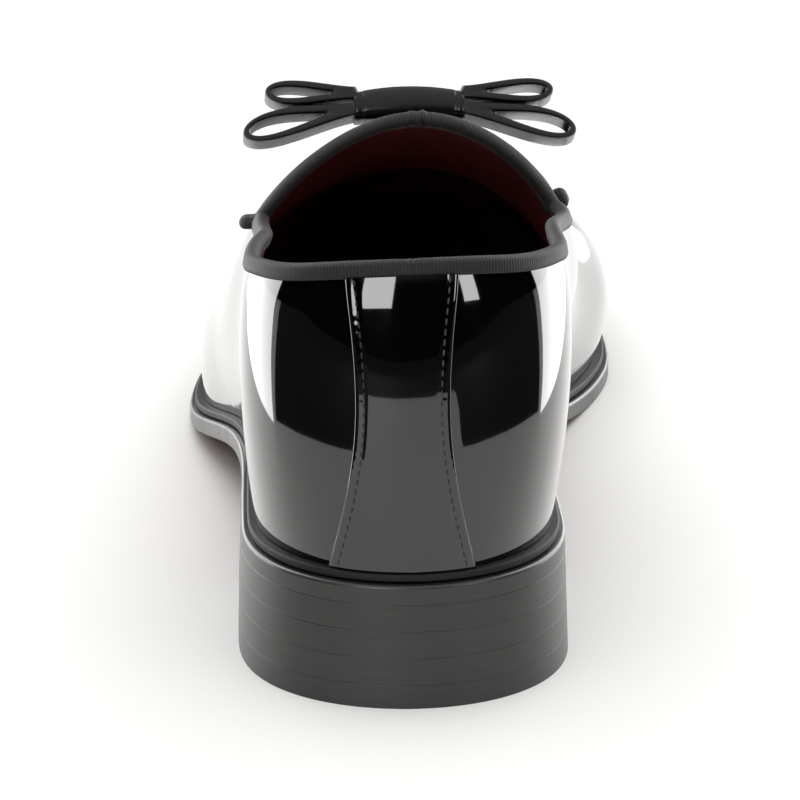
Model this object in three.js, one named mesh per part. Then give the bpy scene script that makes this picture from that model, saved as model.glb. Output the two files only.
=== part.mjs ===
// A left tuxedo slip-on shoe: patent upper with a heel strap, ribbed bindings
// and a flat bow, on a leather sole with a stacked heel.
// Millimetres. Toe along +Y, medial side along +X, floor at z = 0.

import * as THREE from 'three';

// Driving dimensions
const sole_length = 304;
const ball_width = 96;
const heel_width = 66.5;
const heel_height = 22;
const outsole_thickness = 4;
const welt_thickness = 1.7;
const insole_thickness = 3;
const toe_spring = 10;
const joint_gap = 0.3;

const instep_height = 91;
const toe_box_height = 38;
const collar_height = 93.5;
const side_height = 69.6;
const collar_tilt = 1;
const upper_wall = 2;
const forepart_edge = 3.4;
const heel_edge = 2.6;
const heel_lean = 7;

const throat_station = 118;
const tongue_reach = 6;
const collar_binding_height = 3;
const tongue_binding_height = 4.6;
const binding_thickness = 3.4;
const nub_reach = 4;

const strap_top_width = 22.5;
const strap_middle_width = 19;
const strap_bottom_width = 29;
const strap_offset = 1.4;
const strap_thickness = 1;

const welt_setback = 1.2;
const welt_width = 11;
const edge_bevel = 0.7;
const heel_length = 73;
const breast_depth = 5;
const heel_flare = 1;
const lift_count = 3;
const tip_thickness = 5;
const rubber_length = 35.5;

const bow_station = 127;
const bow_spread = 73;
const knot_width = 24;
const knot_depth = 12;
const knot_height = 7;
const ribbon_width = 11;
const ribbon_thickness = 1.4;
const upper_loop_height = 5.2;
const lower_loop_height = 6.4;
const lower_loop_droop = 5.1;

// Heights of the layers over the bottom of the outsole
const welt_lift = outsole_thickness + joint_gap;
const feather_lift = welt_lift + welt_thickness + joint_gap;

// Resolution of the curved grids, and how their lines crowd together towards
// the feather line and the throat
const sole_stations = 72;
const collar_columns = 18;
const vamp_columns = 20;
const rib_rows = 15;
const rib_crowding = 1.4;
const vamp_crowding = 1.7;

const patent = { color: 0x0b0b0c, roughness: 0.06, metalness: 0 };
const grosgrain = { color: 0x232224, roughness: 0.75, metalness: 0 };
const bow_leather = { color: 0x111113, roughness: 0.3, metalness: 0 };
const black_edge = { color: 0x18171a, roughness: 0.45, metalness: 0 };
const sole_leather = { color: 0x4f1d22, roughness: 0.4, metalness: 0 };
const lining_leather = { color: 0x4a1a20, roughness: 0.6, metalness: 0 };
const heel_rubber = { color: 0x2a2a2b, roughness: 0.85, metalness: 0 };

// Tables of sections. Each row is one station, in shares of the named sizes.

// Sole outline: place along the length, centre in ball widths, and the half
// width as shares of half the ball width and half the heel width.
const sole_sections = table(['along', 'centre', 'ball', 'heel'], [
  [0.000, -0.036, 0.000, 1.000],
  [0.066, -0.036, 0.000, 1.000],
  [0.132, -0.037, 0.000, 1.000],
  [0.197, -0.040, 0.000, 0.985],
  [0.263, -0.047, 0.000, 0.963],
  [0.329, -0.057, 0.190, 0.700],
  [0.395, -0.065, 0.433, 0.400],
  [0.461, -0.064, 0.673, 0.150],
  [0.526, -0.048, 0.875, 0.000],
  [0.592, -0.015, 0.958, 0.000],
  [0.658, 0.029, 0.996, 0.000],
  [0.724, 0.061, 0.954, 0.000],
  [0.789, 0.090, 0.867, 0.000],
  [0.855, 0.115, 0.756, 0.000],
  [0.921, 0.133, 0.712, 0.000],
  [1.000, 0.141, 0.750, 0.000],
]);

// Last: ridge height as shares of the instep height and the toe box height,
// how far the ridge leans to the medial side in ball widths, how much the
// side wall bellies out over the feather, and how square the section is.
const last_sections = table(['along', 'instep', 'toe', 'lean', 'belly', 'square'], [
  [0.000, 1.400, 0.000, 0.000, 0.120, 4.0],
  [0.132, 1.350, 0.000, 0.010, 0.125, 4.0],
  [0.230, 1.235, 0.000, 0.034, 0.150, 3.7],
  [0.310, 1.100, 0.000, 0.075, 0.225, 3.6],
  [0.368, 1.010, 0.000, 0.090, 0.260, 3.9],
  [0.415, 0.942, 0.000, 0.078, 0.225, 3.7],
  [0.470, 0.842, 0.000, 0.070, 0.175, 2.9],
  [0.526, 0.620, 0.330, 0.058, 0.135, 2.35],
  [0.592, 0.340, 0.800, 0.046, 0.105, 2.3],
  [0.658, 0.130, 1.150, 0.042, 0.075, 2.3],
  [0.724, 0.030, 1.260, 0.036, 0.055, 2.3],
  [0.789, 0.000, 1.210, 0.028, 0.045, 2.35],
  [0.855, 0.000, 1.110, 0.014, 0.050, 2.45],
  [0.921, 0.000, 1.010, 0.003, 0.050, 2.55],
  [1.000, 0.000, 0.920, 0.000, 0.050, 2.6],
]);

// Back curve of the heel: height over the feather as a share of the height
// of the collar, and the place forward of the sole's end in heel leans.
const back_curve = table(['up', 'forward'], [
  [0.00, 0.38],
  [0.20, 0.22],
  [0.40, 0.18],
  [0.60, 0.32],
  [0.80, 0.62],
  [1.00, 1.00],
  [1.40, 2.00],
]);

// Topline of the quarters: place along the way from heel to throat, and
// the share of the drop from the back of the collar to the sides.
const topline_drop = table(['along', 'drop'], [
  [-0.10, -0.05],
  [0.05, 0.04],
  [0.12, 0.145],
  [0.21, 0.235],
  [0.34, 0.355],
  [0.51, 0.505],
  [0.68, 0.69],
  [0.85, 0.90],
  [1.00, 1.00],
  [1.15, 0.99],
]);

// Lengths of the rounded ends, and how square their curves are
const heel_round = heel_width * 0.585;
const toe_round = ball_width * 0.583;
const toe_box_round = toe_box_height * 0.68;
const heel_squareness = 2.5;
const toe_squareness = 2.2;
const toe_box_squareness = 2;

// Where the set back of the last changes from the heel's to the forepart's
const waist_back = 0.2;
const waist_front = 0.5;

// Arch between the heel breast and the ball, and the flat of the forefoot
const arch_back = heel_length + 2;
const ball_back = sole_length * 0.625;
const ball_front = sole_length * 0.73;
const spring_power = 1.8;

function table(names, rows) {
  const columns = {};
  names.forEach((name, index) => {
    columns[name] = rows.map((row) => row[index]);
  });
  return columns;
}

// Smooth curve through a column of values, with free ends
function curveThrough(places, values) {
  const count = places.length;
  const bend = new Array(count).fill(0);
  const work = new Array(count).fill(0);
  for (let i = 1; i < count - 1; i += 1) {
    const left = places[i] - places[i - 1];
    const right = places[i + 1] - places[i];
    const share = left / (left + right);
    const pivot = share * bend[i - 1] + 2;
    const turn = (values[i + 1] - values[i]) / right - (values[i] - values[i - 1]) / left;
    bend[i] = (share - 1) / pivot;
    work[i] = (6 * turn / (left + right) - share * work[i - 1]) / pivot;
  }
  for (let i = count - 2; i >= 0; i -= 1) {
    bend[i] = bend[i] * bend[i + 1] + work[i];
  }
  return (place) => {
    const at = THREE.MathUtils.clamp(place, places[0], places[count - 1]);
    let low = 0;
    while (low < count - 2 && places[low + 1] < at) {
      low += 1;
    }
    const span = places[low + 1] - places[low];
    const b = (at - places[low]) / span;
    const a = 1 - b;
    const cubic = (a * a * a - a) * bend[low] + (b * b * b - b) * bend[low + 1];
    return a * values[low] + b * values[low + 1] + cubic * span * span / 6;
  };
}

const soleCentre = curveThrough(sole_sections.along, sole_sections.centre);
const soleBall = curveThrough(sole_sections.along, sole_sections.ball);
const soleHeel = curveThrough(sole_sections.along, sole_sections.heel);
const lastInstep = curveThrough(last_sections.along, last_sections.instep);
const lastToe = curveThrough(last_sections.along, last_sections.toe);
const lastLean = curveThrough(last_sections.along, last_sections.lean);
const lastBelly = curveThrough(last_sections.along, last_sections.belly);
const lastSquare = curveThrough(last_sections.along, last_sections.square);
const backForward = curveThrough(back_curve.up, back_curve.forward);
const toplineDrop = curveThrough(topline_drop.along, topline_drop.drop);

// Square of the share of the full width at a distance from a rounded end,
// below zero past the end
function roundedEnd(share, squareness) {
  return share >= 1 ? 1 : 1 - Math.pow(1 - share, squareness);
}

function centreLine(y) {
  return soleCentre(y / sole_length) * ball_width;
}

function openHalfWidth(y) {
  const along = y / sole_length;
  return soleBall(along) * ball_width / 2 + soleHeel(along) * heel_width / 2;
}

// Height of the outsole's bottom face over the floor
function groundHeight(y) {
  const arch = THREE.MathUtils.smoothstep(y, arch_back, ball_back);
  const spring = Math.max(0, (y - ball_front) / (sole_length - ball_front));
  return heel_height * (1 - arch) + toe_spring * Math.pow(spring, spring_power);
}

function featherHeight(y) {
  return groundHeight(y) + feather_lift;
}

// Point on the sole's edge, drawn in by an inset. The turn runs from 0 at
// the back of the heel, through the medial side, to pi at the toe.
function solePoint(turn, inset) {
  const edge = (angle) => {
    const y = sole_length * (1 - Math.cos(angle)) / 2;
    const ends = roundedEnd(y / heel_round, heel_squareness)
      * roundedEnd((sole_length - y) / toe_round, toe_squareness);
    const side = Math.sin(angle) < 0 ? -1 : 1;
    const half = openHalfWidth(y) * Math.sqrt(Math.max(0, ends));
    return new THREE.Vector2(centreLine(y) + side * half, y);
  };
  const step = 0.004;
  const along = edge(turn + step).sub(edge(turn - step)).normalize();
  const point = edge(turn);
  return new THREE.Vector2(point.x - along.y * inset, point.y + along.x * inset);
}

function turnAt(y) {
  return Math.acos(1 - 2 * y / sole_length);
}

// The last
const tip_station = sole_length - forepart_edge;

function heelBack(z) {
  const up = (z - heel_height - feather_lift) / (collar_height - heel_height - feather_lift);
  return backForward(up) * heel_lean;
}

function ridgeHeight(y) {
  const along = y / sole_length;
  const open = lastInstep(along) * instep_height + lastToe(along) * toe_box_height;
  const feather = featherHeight(y);
  const nose = roundedEnd((tip_station - y) / toe_box_round, toe_box_squareness);
  return feather + (open - feather) * Math.sqrt(Math.max(1e-9, nose));
}

// Centre and square of the half width of the last at a station and a height
function lastSection(y, z) {
  const along = y / sole_length;
  const feather = featherHeight(y);
  const up = Math.max(0, (z - feather) / (ridgeHeight(y) - feather));
  const ends = Math.min(
    roundedEnd((y - heelBack(z)) / heel_round, heel_squareness),
    roundedEnd((tip_station - y) / toe_round, toe_squareness),
  );
  const waist = THREE.MathUtils.smoothstep(along, waist_back, waist_front);
  const inset = THREE.MathUtils.lerp(heel_edge, forepart_edge, waist);
  const belly = 1 + 4 * lastBelly(along) * up * (1 - up);
  const crown = 1 - Math.pow(up, lastSquare(along));
  const open_half = (openHalfWidth(y) - inset) * belly;
  const centre = centreLine(y) + lastLean(along) * ball_width * (1 - (1 - up) * (1 - up));
  const half_squared = ends <= 0 || crown <= 0 ? Math.min(ends, crown) : open_half * open_half * ends * crown;
  return { centre, half_squared };
}

function lastHalf(y, z) {
  return Math.sqrt(Math.max(0, lastSection(y, z).half_squared));
}

function insideLast(x, y, z) {
  const section = lastSection(y, z);
  return (x - section.centre) * (x - section.centre) < section.half_squared;
}

// Outward normal of the last, from a point on its surface
function lastNormal(point) {
  const step = 0.05;
  const depth = (x, y, z) => {
    const section = lastSection(y, z);
    return (x - section.centre) * (x - section.centre) - section.half_squared;
  };
  const inner = lastSection(point.y, point.z).centre;
  const pull = 0.999;
  const x = inner + (point.x - inner) * pull;
  return new THREE.Vector3(
    depth(x + step, point.y, point.z) - depth(x - step, point.y, point.z),
    depth(x, point.y + step, point.z) - depth(x, point.y - step, point.z),
    depth(x, point.y, point.z + step) - depth(x, point.y, point.z - step),
  ).normalize();
}

// Each rib runs towards its own point under the opening. These points lie on
// the middle line, and move forward from the heel to the throat and back a
// little for the toe, so that the ribs cross the feather line squarely. Their
// places are shares of the way to the throat.
const heel_entry = 0.38;
const throat_entry = 0.8;
const toe_entry = 0.7;

function entryPoint(y) {
  const quarter = THREE.MathUtils.clamp(y / throat_station, 0, 1);
  const vamp = Math.max(0, (y - throat_station) / (sole_length - throat_station));
  const share = THREE.MathUtils.lerp(heel_entry, throat_entry, quarter) + (toe_entry - throat_entry) * vamp;
  return new THREE.Vector2(0, throat_station * share);
}

// The topline falls from the heel to the throat. It also tilts, up on the
// medial side and down on the lateral, where it passes under the ankle bone.
function toplineHeight(x, y) {
  const tilt = collar_tilt * (x - centreLine(y)) / (heel_width / 2);
  return collar_height + tilt - (collar_height - side_height) * toplineDrop(y / throat_station);
}

// Plan of the tongue's edge, nearest the heel in the middle of the instep
function tongueEdge(x) {
  const across = (x - tongue_centre) / tongue_half;
  return throat_station - tongue_reach * Math.max(0, 1 - across * across);
}

const tongue_centre = lastSection(throat_station, side_height).centre;
const tongue_half = lastHalf(throat_station, side_height);

// True over the topline, once the bindings' heights are taken off it
function overTopline(point, collar_off, tongue_off) {
  return point.z > toplineHeight(point.x, point.y) - collar_off
    && point.y < tongueEdge(point.x) + tongue_off;
}

// Feather point of the last, by the same turn as the sole's edge
function featherPoint(turn) {
  const start = heelBack(heel_height + feather_lift);
  const y = start + (tip_station - start) * (1 - Math.cos(turn)) / 2;
  const side = Math.sin(turn) < 0 ? -1 : 1;
  return new THREE.Vector3(centreLine(y) + side * lastHalf(y, featherHeight(y)), y, featherHeight(y));
}

// Rib of the last: the curve over its surface from the feather to the bare
// edge under the bindings, in an upright plane through the entry point. It is
// swept by a ray about a core inside the last, which lies further out and a
// little higher over the feather on the long ribs of the forepart.
const core_share = 0.75;
const heel_core = 1;
const forepart_core = 3;

function ribCurve(turn) {
  const foot = featherPoint(turn);
  const entry = entryPoint(foot.y);
  const flat = new THREE.Vector2(foot.x, foot.y).sub(entry);
  const reach = flat.length();
  flat.normalize();
  const spare = reach - heel_round * 2;
  const core_reach = spare > 0 ? core_share * spare : 0;
  const core_height = foot.z + (spare > 0 ? forepart_core : heel_core);
  const surfaceAt = (angle) => {
    const place = (distance) => {
      const r = core_reach + Math.cos(angle) * distance;
      const z = core_height + Math.sin(angle) * distance;
      return new THREE.Vector3(entry.x + flat.x * r, entry.y + flat.y * r, z);
    };
    let low = 0;
    let high = sole_length;
    for (let i = 0; i < 26; i += 1) {
      const middle = (low + high) / 2;
      const spot = place(middle);
      if (insideLast(spot.x, spot.y, spot.z)) {
        low = middle;
      } else {
        high = middle;
      }
    }
    return place(low);
  };
  const pastRim = (point) => overTopline(point, collar_binding_height, tongue_binding_height);
  const step = 0.02;
  const spots = [foot];
  let angle = Math.atan2(foot.z - core_height, reach - core_reach) + step / 2;
  while (!pastRim(surfaceAt(angle))) {
    spots.push(surfaceAt(angle));
    angle += step;
  }
  let low = angle - step;
  let high = angle;
  for (let i = 0; i < 24; i += 1) {
    const middle = (low + high) / 2;
    if (pastRim(surfaceAt(middle))) {
      high = middle;
    } else {
      low = middle;
    }
  }
  spots.push(surfaceAt(high));
  return spots;
}

// Points along a rib, closer together near the feather
function rowsAlong(spots, rows) {
  const travelled = [0];
  for (let i = 1; i < spots.length; i += 1) {
    travelled.push(travelled[i - 1] + spots[i].distanceTo(spots[i - 1]));
  }
  const total = travelled[travelled.length - 1];
  const result = [];
  let low = 0;
  for (let row = 0; row <= rows; row += 1) {
    const goal = total * Math.pow(row / rows, rib_crowding);
    while (low < spots.length - 2 && travelled[low + 1] < goal) {
      low += 1;
    }
    const share = (goal - travelled[low]) / (travelled[low + 1] - travelled[low]);
    result.push(spots[low].clone().lerp(spots[low + 1], share));
  }
  return result;
}

// Turn of the rib that passes a station at a height
function turnToStation(side, station, height) {
  let low = 0.2;
  let high = 2;
  for (let i = 0; i < 30; i += 1) {
    const turn = (low + high) / 2;
    const foot = featherPoint(side * turn);
    const entry = entryPoint(foot.y);
    const flat = new THREE.Vector2(foot.x, foot.y).sub(entry).normalize();
    let near = 0;
    let far = heel_width;
    for (let j = 0; j < 30; j += 1) {
      const middle = (near + far) / 2;
      const inside = insideLast(entry.x + flat.x * middle, entry.y + flat.y * middle, height);
      if (inside) {
        near = middle;
      } else {
        far = middle;
      }
    }
    if (entry.y + flat.y * near < station) {
      low = turn;
    } else {
      high = turn;
    }
  }
  return low;
}

// Turns of the grid's columns, with a narrow break at each side of the throat
function columnTurns() {
  const side_turns = [1, -1].map((side) => {
    const height = side_height - collar_binding_height;
    const before = turnToStation(side, throat_station - joint_gap * 2, height);
    const after = turnToStation(side, throat_station + tongue_binding_height, height);
    const turns = [];
    for (let i = 0; i <= collar_columns; i += 1) {
      turns.push(before * i / collar_columns);
    }
    for (let i = 0; i <= vamp_columns; i += 1) {
      turns.push(after + (Math.PI - after) * Math.pow(i / vamp_columns, vamp_crowding));
    }
    return turns;
  });
  const [medial, lateral] = side_turns;
  return medial.concat(lateral.slice(1, -1).reverse().map((turn) => 2 * Math.PI - turn));
}

const column_turns = columnTurns();
const rib_rows_outer = column_turns.map((turn) => rowsAlong(ribCurve(turn), rib_rows));

// Outward normal at a grid point, level along the feather line
function ribNormal(column, row) {
  if (row > 0) {
    return lastNormal(rib_rows_outer[column][row]);
  }
  const turn = column_turns[column];
  const along = featherPoint(turn + 0.01).sub(featherPoint(turn - 0.01));
  return new THREE.Vector3(along.y, -along.x, 0).normalize();
}

// Closed body from points and triangles, with its faces outwards
function closedBody(points, triangles) {
  let volume = 0;
  triangles.forEach(([a, b, c]) => {
    volume += points[a].dot(points[b].clone().cross(points[c]));
  });
  const faces = volume < 0 ? triangles.map(([a, b, c]) => [a, c, b]) : triangles;
  const geometry = new THREE.BufferGeometry();
  const flat = points.flatMap((point) => [point.x, point.y, point.z]);
  geometry.setAttribute('position', new THREE.Float32BufferAttribute(flat, 3));
  geometry.setIndex(faces.flat());
  geometry.computeVertexNormals();
  return geometry;
}

// Two triangles for each square between rings of equal length
function ringSides(ring_count, ring_length, closed_rings, closed_length) {
  const triangles = [];
  const last_ring = closed_rings ? ring_count : ring_count - 1;
  const last_point = closed_length ? ring_length : ring_length - 1;
  for (let i = 0; i < last_ring; i += 1) {
    for (let j = 0; j < last_point; j += 1) {
      const a = i * ring_length + j;
      const b = i * ring_length + (j + 1) % ring_length;
      const c = ((i + 1) % ring_count) * ring_length + (j + 1) % ring_length;
      const d = ((i + 1) % ring_count) * ring_length + j;
      triangles.push([a, b, c], [a, c, d]);
    }
  }
  return triangles;
}

// Body carried through a row of sections, with a flat cap on each end
function carriedBody(rings) {
  const size = rings[0].length;
  const points = rings.flat();
  const triangles = ringSides(rings.length, size, false, true);
  [0, rings.length - 1].forEach((index) => {
    const centre = new THREE.Vector3();
    rings[index].forEach((point) => centre.add(point));
    points.push(centre.divideScalar(size));
    for (let j = 0; j < size; j += 1) {
      const near = index * size + j;
      const far = index * size + (j + 1) % size;
      triangles.push(index === 0 ? [points.length - 1, far, near] : [points.length - 1, near, far]);
    }
  });
  return closedBody(points, triangles);
}

// Plate between rings that mirror each other from heel to toe, with top and
// bottom faces laid in strips across the width
function platedBody(rings) {
  const size = rings[0].length;
  const triangles = ringSides(rings.length, size, false, true);
  [0, rings.length - 1].forEach((index) => {
    const at = (j) => index * size + (j + size) % size;
    for (let j = 0; j < size / 2; j += 1) {
      const strip = [];
      if (j > 0) {
        strip.push([at(j), at(j + 1), at(-j)]);
      }
      if (j < size / 2 - 1) {
        strip.push([at(j + 1), at(-j - 1), at(-j)]);
      }
      strip.forEach(([a, b, c]) => triangles.push(index === 0 ? [a, c, b] : [a, b, c]));
    }
  });
  return closedBody(rings.flat(), triangles);
}

// Flat layer between two level rings of any outline
function levelBody(rings) {
  const size = rings[0].length;
  const triangles = ringSides(rings.length, size, false, true);
  [0, rings.length - 1].forEach((index) => {
    const outline = rings[index].map((point) => new THREE.Vector2(point.x, point.y));
    THREE.ShapeUtils.triangulateShape(outline, []).forEach(([a, b, c]) => {
      const face = [a, b, c].map((j) => index * size + j);
      triangles.push(index === 0 ? face.reverse() : face);
    });
  });
  return closedBody(rings.flat(), triangles);
}

const shoe = new THREE.Group();

function addPiece(name, geometry, finish) {
  const piece = new THREE.Mesh(geometry, new THREE.MeshStandardMaterial(finish));
  piece.name = name;
  shoe.add(piece);
  return piece;
}

// Ring round the sole at an inset and a lift over the bottom face
function soleRing(inset, lift) {
  const ring = [];
  for (let i = 0; i < sole_stations; i += 1) {
    const point = solePoint(2 * Math.PI * i / sole_stations, inset);
    const y = THREE.MathUtils.clamp(point.y, 0, sole_length);
    ring.push(new THREE.Vector3(point.x, point.y, groundHeight(y) + lift));
  }
  return ring;
}

// Outsole: one leather layer from heel to toe, its edge trimmed to a bevel
function makeOutsole() {
  const rings = [
    soleRing(edge_bevel, 0),
    soleRing(0, edge_bevel),
    soleRing(0, outsole_thickness - edge_bevel),
    soleRing(edge_bevel, outsole_thickness),
  ];
  addPiece('outsole', platedBody(rings), sole_leather);
}

// Welt: a strip round the feather line, set back from the sole's edge
function makeWelt() {
  const low = welt_lift;
  const high = welt_lift + welt_thickness;
  const rings = [
    soleRing(welt_setback, low),
    soleRing(welt_setback, high),
    soleRing(welt_setback + welt_width, high),
    soleRing(welt_setback + welt_width, low),
  ];
  const triangles = ringSides(rings.length, sole_stations, true, true);
  addPiece('welt', closedBody(rings.flat(), triangles), black_edge);
}

// Insole: a footbed inside the wall of the upper, resting over the welt
function makeInsole() {
  const clearance = upper_wall + joint_gap * 3;
  const ring = (lift) => {
    const count = sole_stations;
    const points = [];
    for (let i = 0; i < count; i += 1) {
      const turn = 2 * Math.PI * i / count;
      const here = featherPoint(turn);
      const along = featherPoint(turn + 0.01).sub(featherPoint(turn - 0.01)).setZ(0).normalize();
      const x = here.x - along.y * clearance;
      const y = here.y + along.x * clearance;
      points.push(new THREE.Vector3(x, y, featherHeight(y) + lift));
    }
    return points;
  };
  addPiece('insole', platedBody([ring(0), ring(insole_thickness)]), lining_leather);
}

// Heel: level lifts of leather, then a top piece of leather with a rubber
// back. It stands a little inside the sole's edge above, and flares below.
const flare_setback = 0.2;

function heelRing(from, to, outset, z) {
  const corner_steps = 12;
  const breast_steps = 8;
  const side = [];
  for (let i = 0; i <= corner_steps; i += 1) {
    side.push(turnAt(from + (to - from) * Math.pow(i / corner_steps, 2)));
  }
  const medial = side.map((turn) => solePoint(turn, -outset));
  const lateral = side.map((turn) => solePoint(2 * Math.PI - turn, -outset));
  const level = (point) => new THREE.Vector3(point.x, point.y, z);
  const breast = (near, far) => {
    const across = [];
    for (let i = 1; i < breast_steps; i += 1) {
      const share = i / breast_steps;
      const hollow = to === heel_length ? 4 * share * (1 - share) * breast_depth : 0;
      across.push(new THREE.Vector2(near.x + (far.x - near.x) * share, to - hollow));
    }
    return across;
  };
  medial[corner_steps].y = to;
  lateral[corner_steps].y = to;
  const start = from === 0 ? [] : [lateral[0].setY(from), medial[0].setY(from)];
  const front = breast(medial[corner_steps], lateral[corner_steps]);
  const outline = from === 0 ? [medial[0]] : start;
  outline.push(...medial.slice(1), ...front, ...lateral.slice(1).reverse());
  return outline.map(level);
}

function makeHeel() {
  const heel_top = heel_height - joint_gap;
  const lift_thickness = (heel_top - tip_thickness) / lift_count;
  const outsetAt = (z) => heel_flare * (1 - z / heel_height - flare_setback);
  const levels = [0, tip_thickness];
  for (let i = 1; i < lift_count; i += 1) {
    levels.push(tip_thickness + lift_thickness * i);
  }
  levels.push(heel_top);
  const layer = (from, to, low, high) => levelBody([
    heelRing(from, to, outsetAt(low), low),
    heelRing(from, to, outsetAt(high), high),
  ]);
  const leather_start = rubber_length + joint_gap;
  addPiece('heel_tip_rubber', layer(0, rubber_length, levels[0], levels[1]), heel_rubber);
  addPiece('heel_tip_leather', layer(leather_start, heel_length, levels[0], levels[1]), black_edge);
  for (let i = 0; i < lift_count; i += 1) {
    addPiece(`heel_lift_${i + 1}`, layer(0, heel_length, levels[i + 1], levels[i + 2]), black_edge);
  }
}

// Upper: one wall from the feather to its bare edge, open above and below
function makeUpper() {
  const rings = [];
  for (let row = 0; row <= rib_rows; row += 1) {
    rings.push(rib_rows_outer.map((rows) => rows[row]));
  }
  for (let row = rib_rows; row >= 0; row -= 1) {
    rings.push(rib_rows_outer.map((rows, column) => (
      rows[row].clone().addScaledVector(ribNormal(column, row), -upper_wall)
    )));
  }
  const triangles = ringSides(rings.length, column_turns.length, true, true);
  addPiece('upper', closedBody(rings.flat(), triangles), patent);
}

// Section of a binding: a rounded band from the bare edge to the topline
const binding_section = [
  [0.0, 0.42], [0.3, 0.5], [0.7, 0.5], [0.93, 0.3],
  [0.93, -0.3], [0.7, -0.5], [0.3, -0.5], [0.0, -0.42],
];

// The band stands square to the bare edge, from the column before to the one
// after, on the middle of the wall
function bindingRing(column, before, after, height) {
  const rim = rib_rows_outer[column][rib_rows];
  const normal = ribNormal(column, rib_rows);
  const along = rib_rows_outer[after][rib_rows].clone().sub(rib_rows_outer[before][rib_rows]);
  const up = normal.clone().cross(along).normalize();
  const foot = rim.clone().addScaledVector(normal, -upper_wall / 2).addScaledVector(up, joint_gap);
  return binding_section.map(([rise, out]) => (
    foot.clone().addScaledVector(up, rise * (height - joint_gap))
      .addScaledVector(normal, out * binding_thickness)
  ));
}

// Collar binding: folded over the edge of the quarters, round the back
function makeCollarBinding() {
  const count = column_turns.length;
  const wrap = (i) => (i + count) % count;
  const rings = [];
  for (let i = -collar_columns; i <= collar_columns; i += 1) {
    const before = Math.max(i - 1, -collar_columns);
    const after = Math.min(i + 1, collar_columns);
    rings.push(bindingRing(wrap(i), wrap(before), wrap(after), collar_binding_height));
  }
  addPiece('topline_binding', carriedBody(rings), grosgrain);
}

// Tongue binding: over the vamp's edge, each end lapped out over the quarter.
// Rows of a lap: way out in binding thicknesses, and way down in nub reaches.
const nub_lap = [[0.55, -0.3], [1.05, -0.05], [1.35, 0.6]];

function makeTongueBinding() {
  const first = collar_columns + 1;
  const last = first + 2 * vamp_columns;
  const rings = [];
  for (let i = first; i <= last; i += 1) {
    rings.push(bindingRing(i, Math.max(i - 1, first), Math.min(i + 1, last), tongue_binding_height));
  }
  const lap = (ring, column) => nub_lap.map(([out, down]) => {
    const move = ribNormal(column, rib_rows).multiplyScalar((binding_thickness + joint_gap) * out);
    move.z -= nub_reach * down;
    return ring.map((point) => point.clone().add(move));
  });
  const start = lap(rings[0], first).reverse();
  const end = lap(rings[rings.length - 1], last);
  const middle = rings.slice(1, -1);
  addPiece('tongue_binding', carriedBody([...start, ...middle, ...end]), grosgrain);
}

// Point on the back of the heel at a place across and a height
function heelPoint(x, z) {
  let low = heelBack(z);
  let high = low + heel_round;
  for (let i = 0; i < 30; i += 1) {
    const middle = (low + high) / 2;
    if (insideLast(x, middle, z)) {
      high = middle;
    } else {
      low = middle;
    }
  }
  return new THREE.Vector3(x, high, z);
}

// Heel strap: an outer layer over the back seam, waisted, wider at its foot
function makeHeelStrap() {
  const rows = 12;
  const across = 6;
  const foot = featherHeight(0) + joint_gap;
  const topAt = (x) => {
    const y = heelPoint(x, collar_height - collar_binding_height).y;
    return toplineHeight(x, y) - collar_binding_height - joint_gap * 2;
  };
  const width = curveThrough([0, 0.5, 1], [strap_bottom_width, strap_middle_width, strap_top_width]);
  const normalAt = (x, z) => {
    const step = 0.5;
    const side = heelPoint(x + step, z).sub(heelPoint(x - step, z));
    const rise = heelPoint(x, z + step).sub(heelPoint(x, z - step));
    return side.cross(rise).normalize();
  };
  const sheet = (offset) => {
    const grid = [];
    for (let row = 0; row <= rows; row += 1) {
      const share = row / rows;
      const line = [];
      for (let j = 0; j <= across; j += 1) {
        const x = centreLine(0) - strap_offset + width(share) * (j / across - 0.5);
        const z = foot + (topAt(x) - foot) * share;
        line.push(heelPoint(x, z).addScaledVector(normalAt(x, z), offset));
      }
      grid.push(line);
    }
    return grid;
  };
  const inner = sheet(joint_gap);
  const outer = sheet(joint_gap + strap_thickness);
  const rings = inner.map((line, row) => line.concat(outer[row].slice().reverse()));
  const size = rings[0].length;
  const triangles = ringSides(rings.length, size, false, true);
  [0, rows].forEach((row) => {
    for (let j = 0; j < across; j += 1) {
      const a = row * size + j;
      const b = a + 1;
      const c = row * size + size - 2 - j;
      const d = row * size + size - 1 - j;
      const pair = [[a, b, c], [a, c, d]];
      pair.forEach((face) => triangles.push(row === 0 ? face.reverse() : face));
    }
  });
  addPiece('heel_strap', closedBody(rings.flat(), triangles), patent);
}

// Bow: a flat knot and two loops on each side, on the slope of the instep
const bow_seat = new THREE.Group();
const bow_ridge = ridgeHeight(bow_station);
const bow_slope = Math.atan2(ridgeHeight(bow_station + 1) - ridgeHeight(bow_station - 1), 2);
const bow_centre = centreLine(bow_station) + lastLean(bow_station / sole_length) * ball_width;

// Outline of one loop seen from behind, pinched at the knot, full at its tip.
// The hollow inside it starts a root's length out, where the two legs part.
const loop_root = 0.3;
const loop_fullness = 1.5;
const fullest_belly = 0.698;
const pinch_length = 30;

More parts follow.
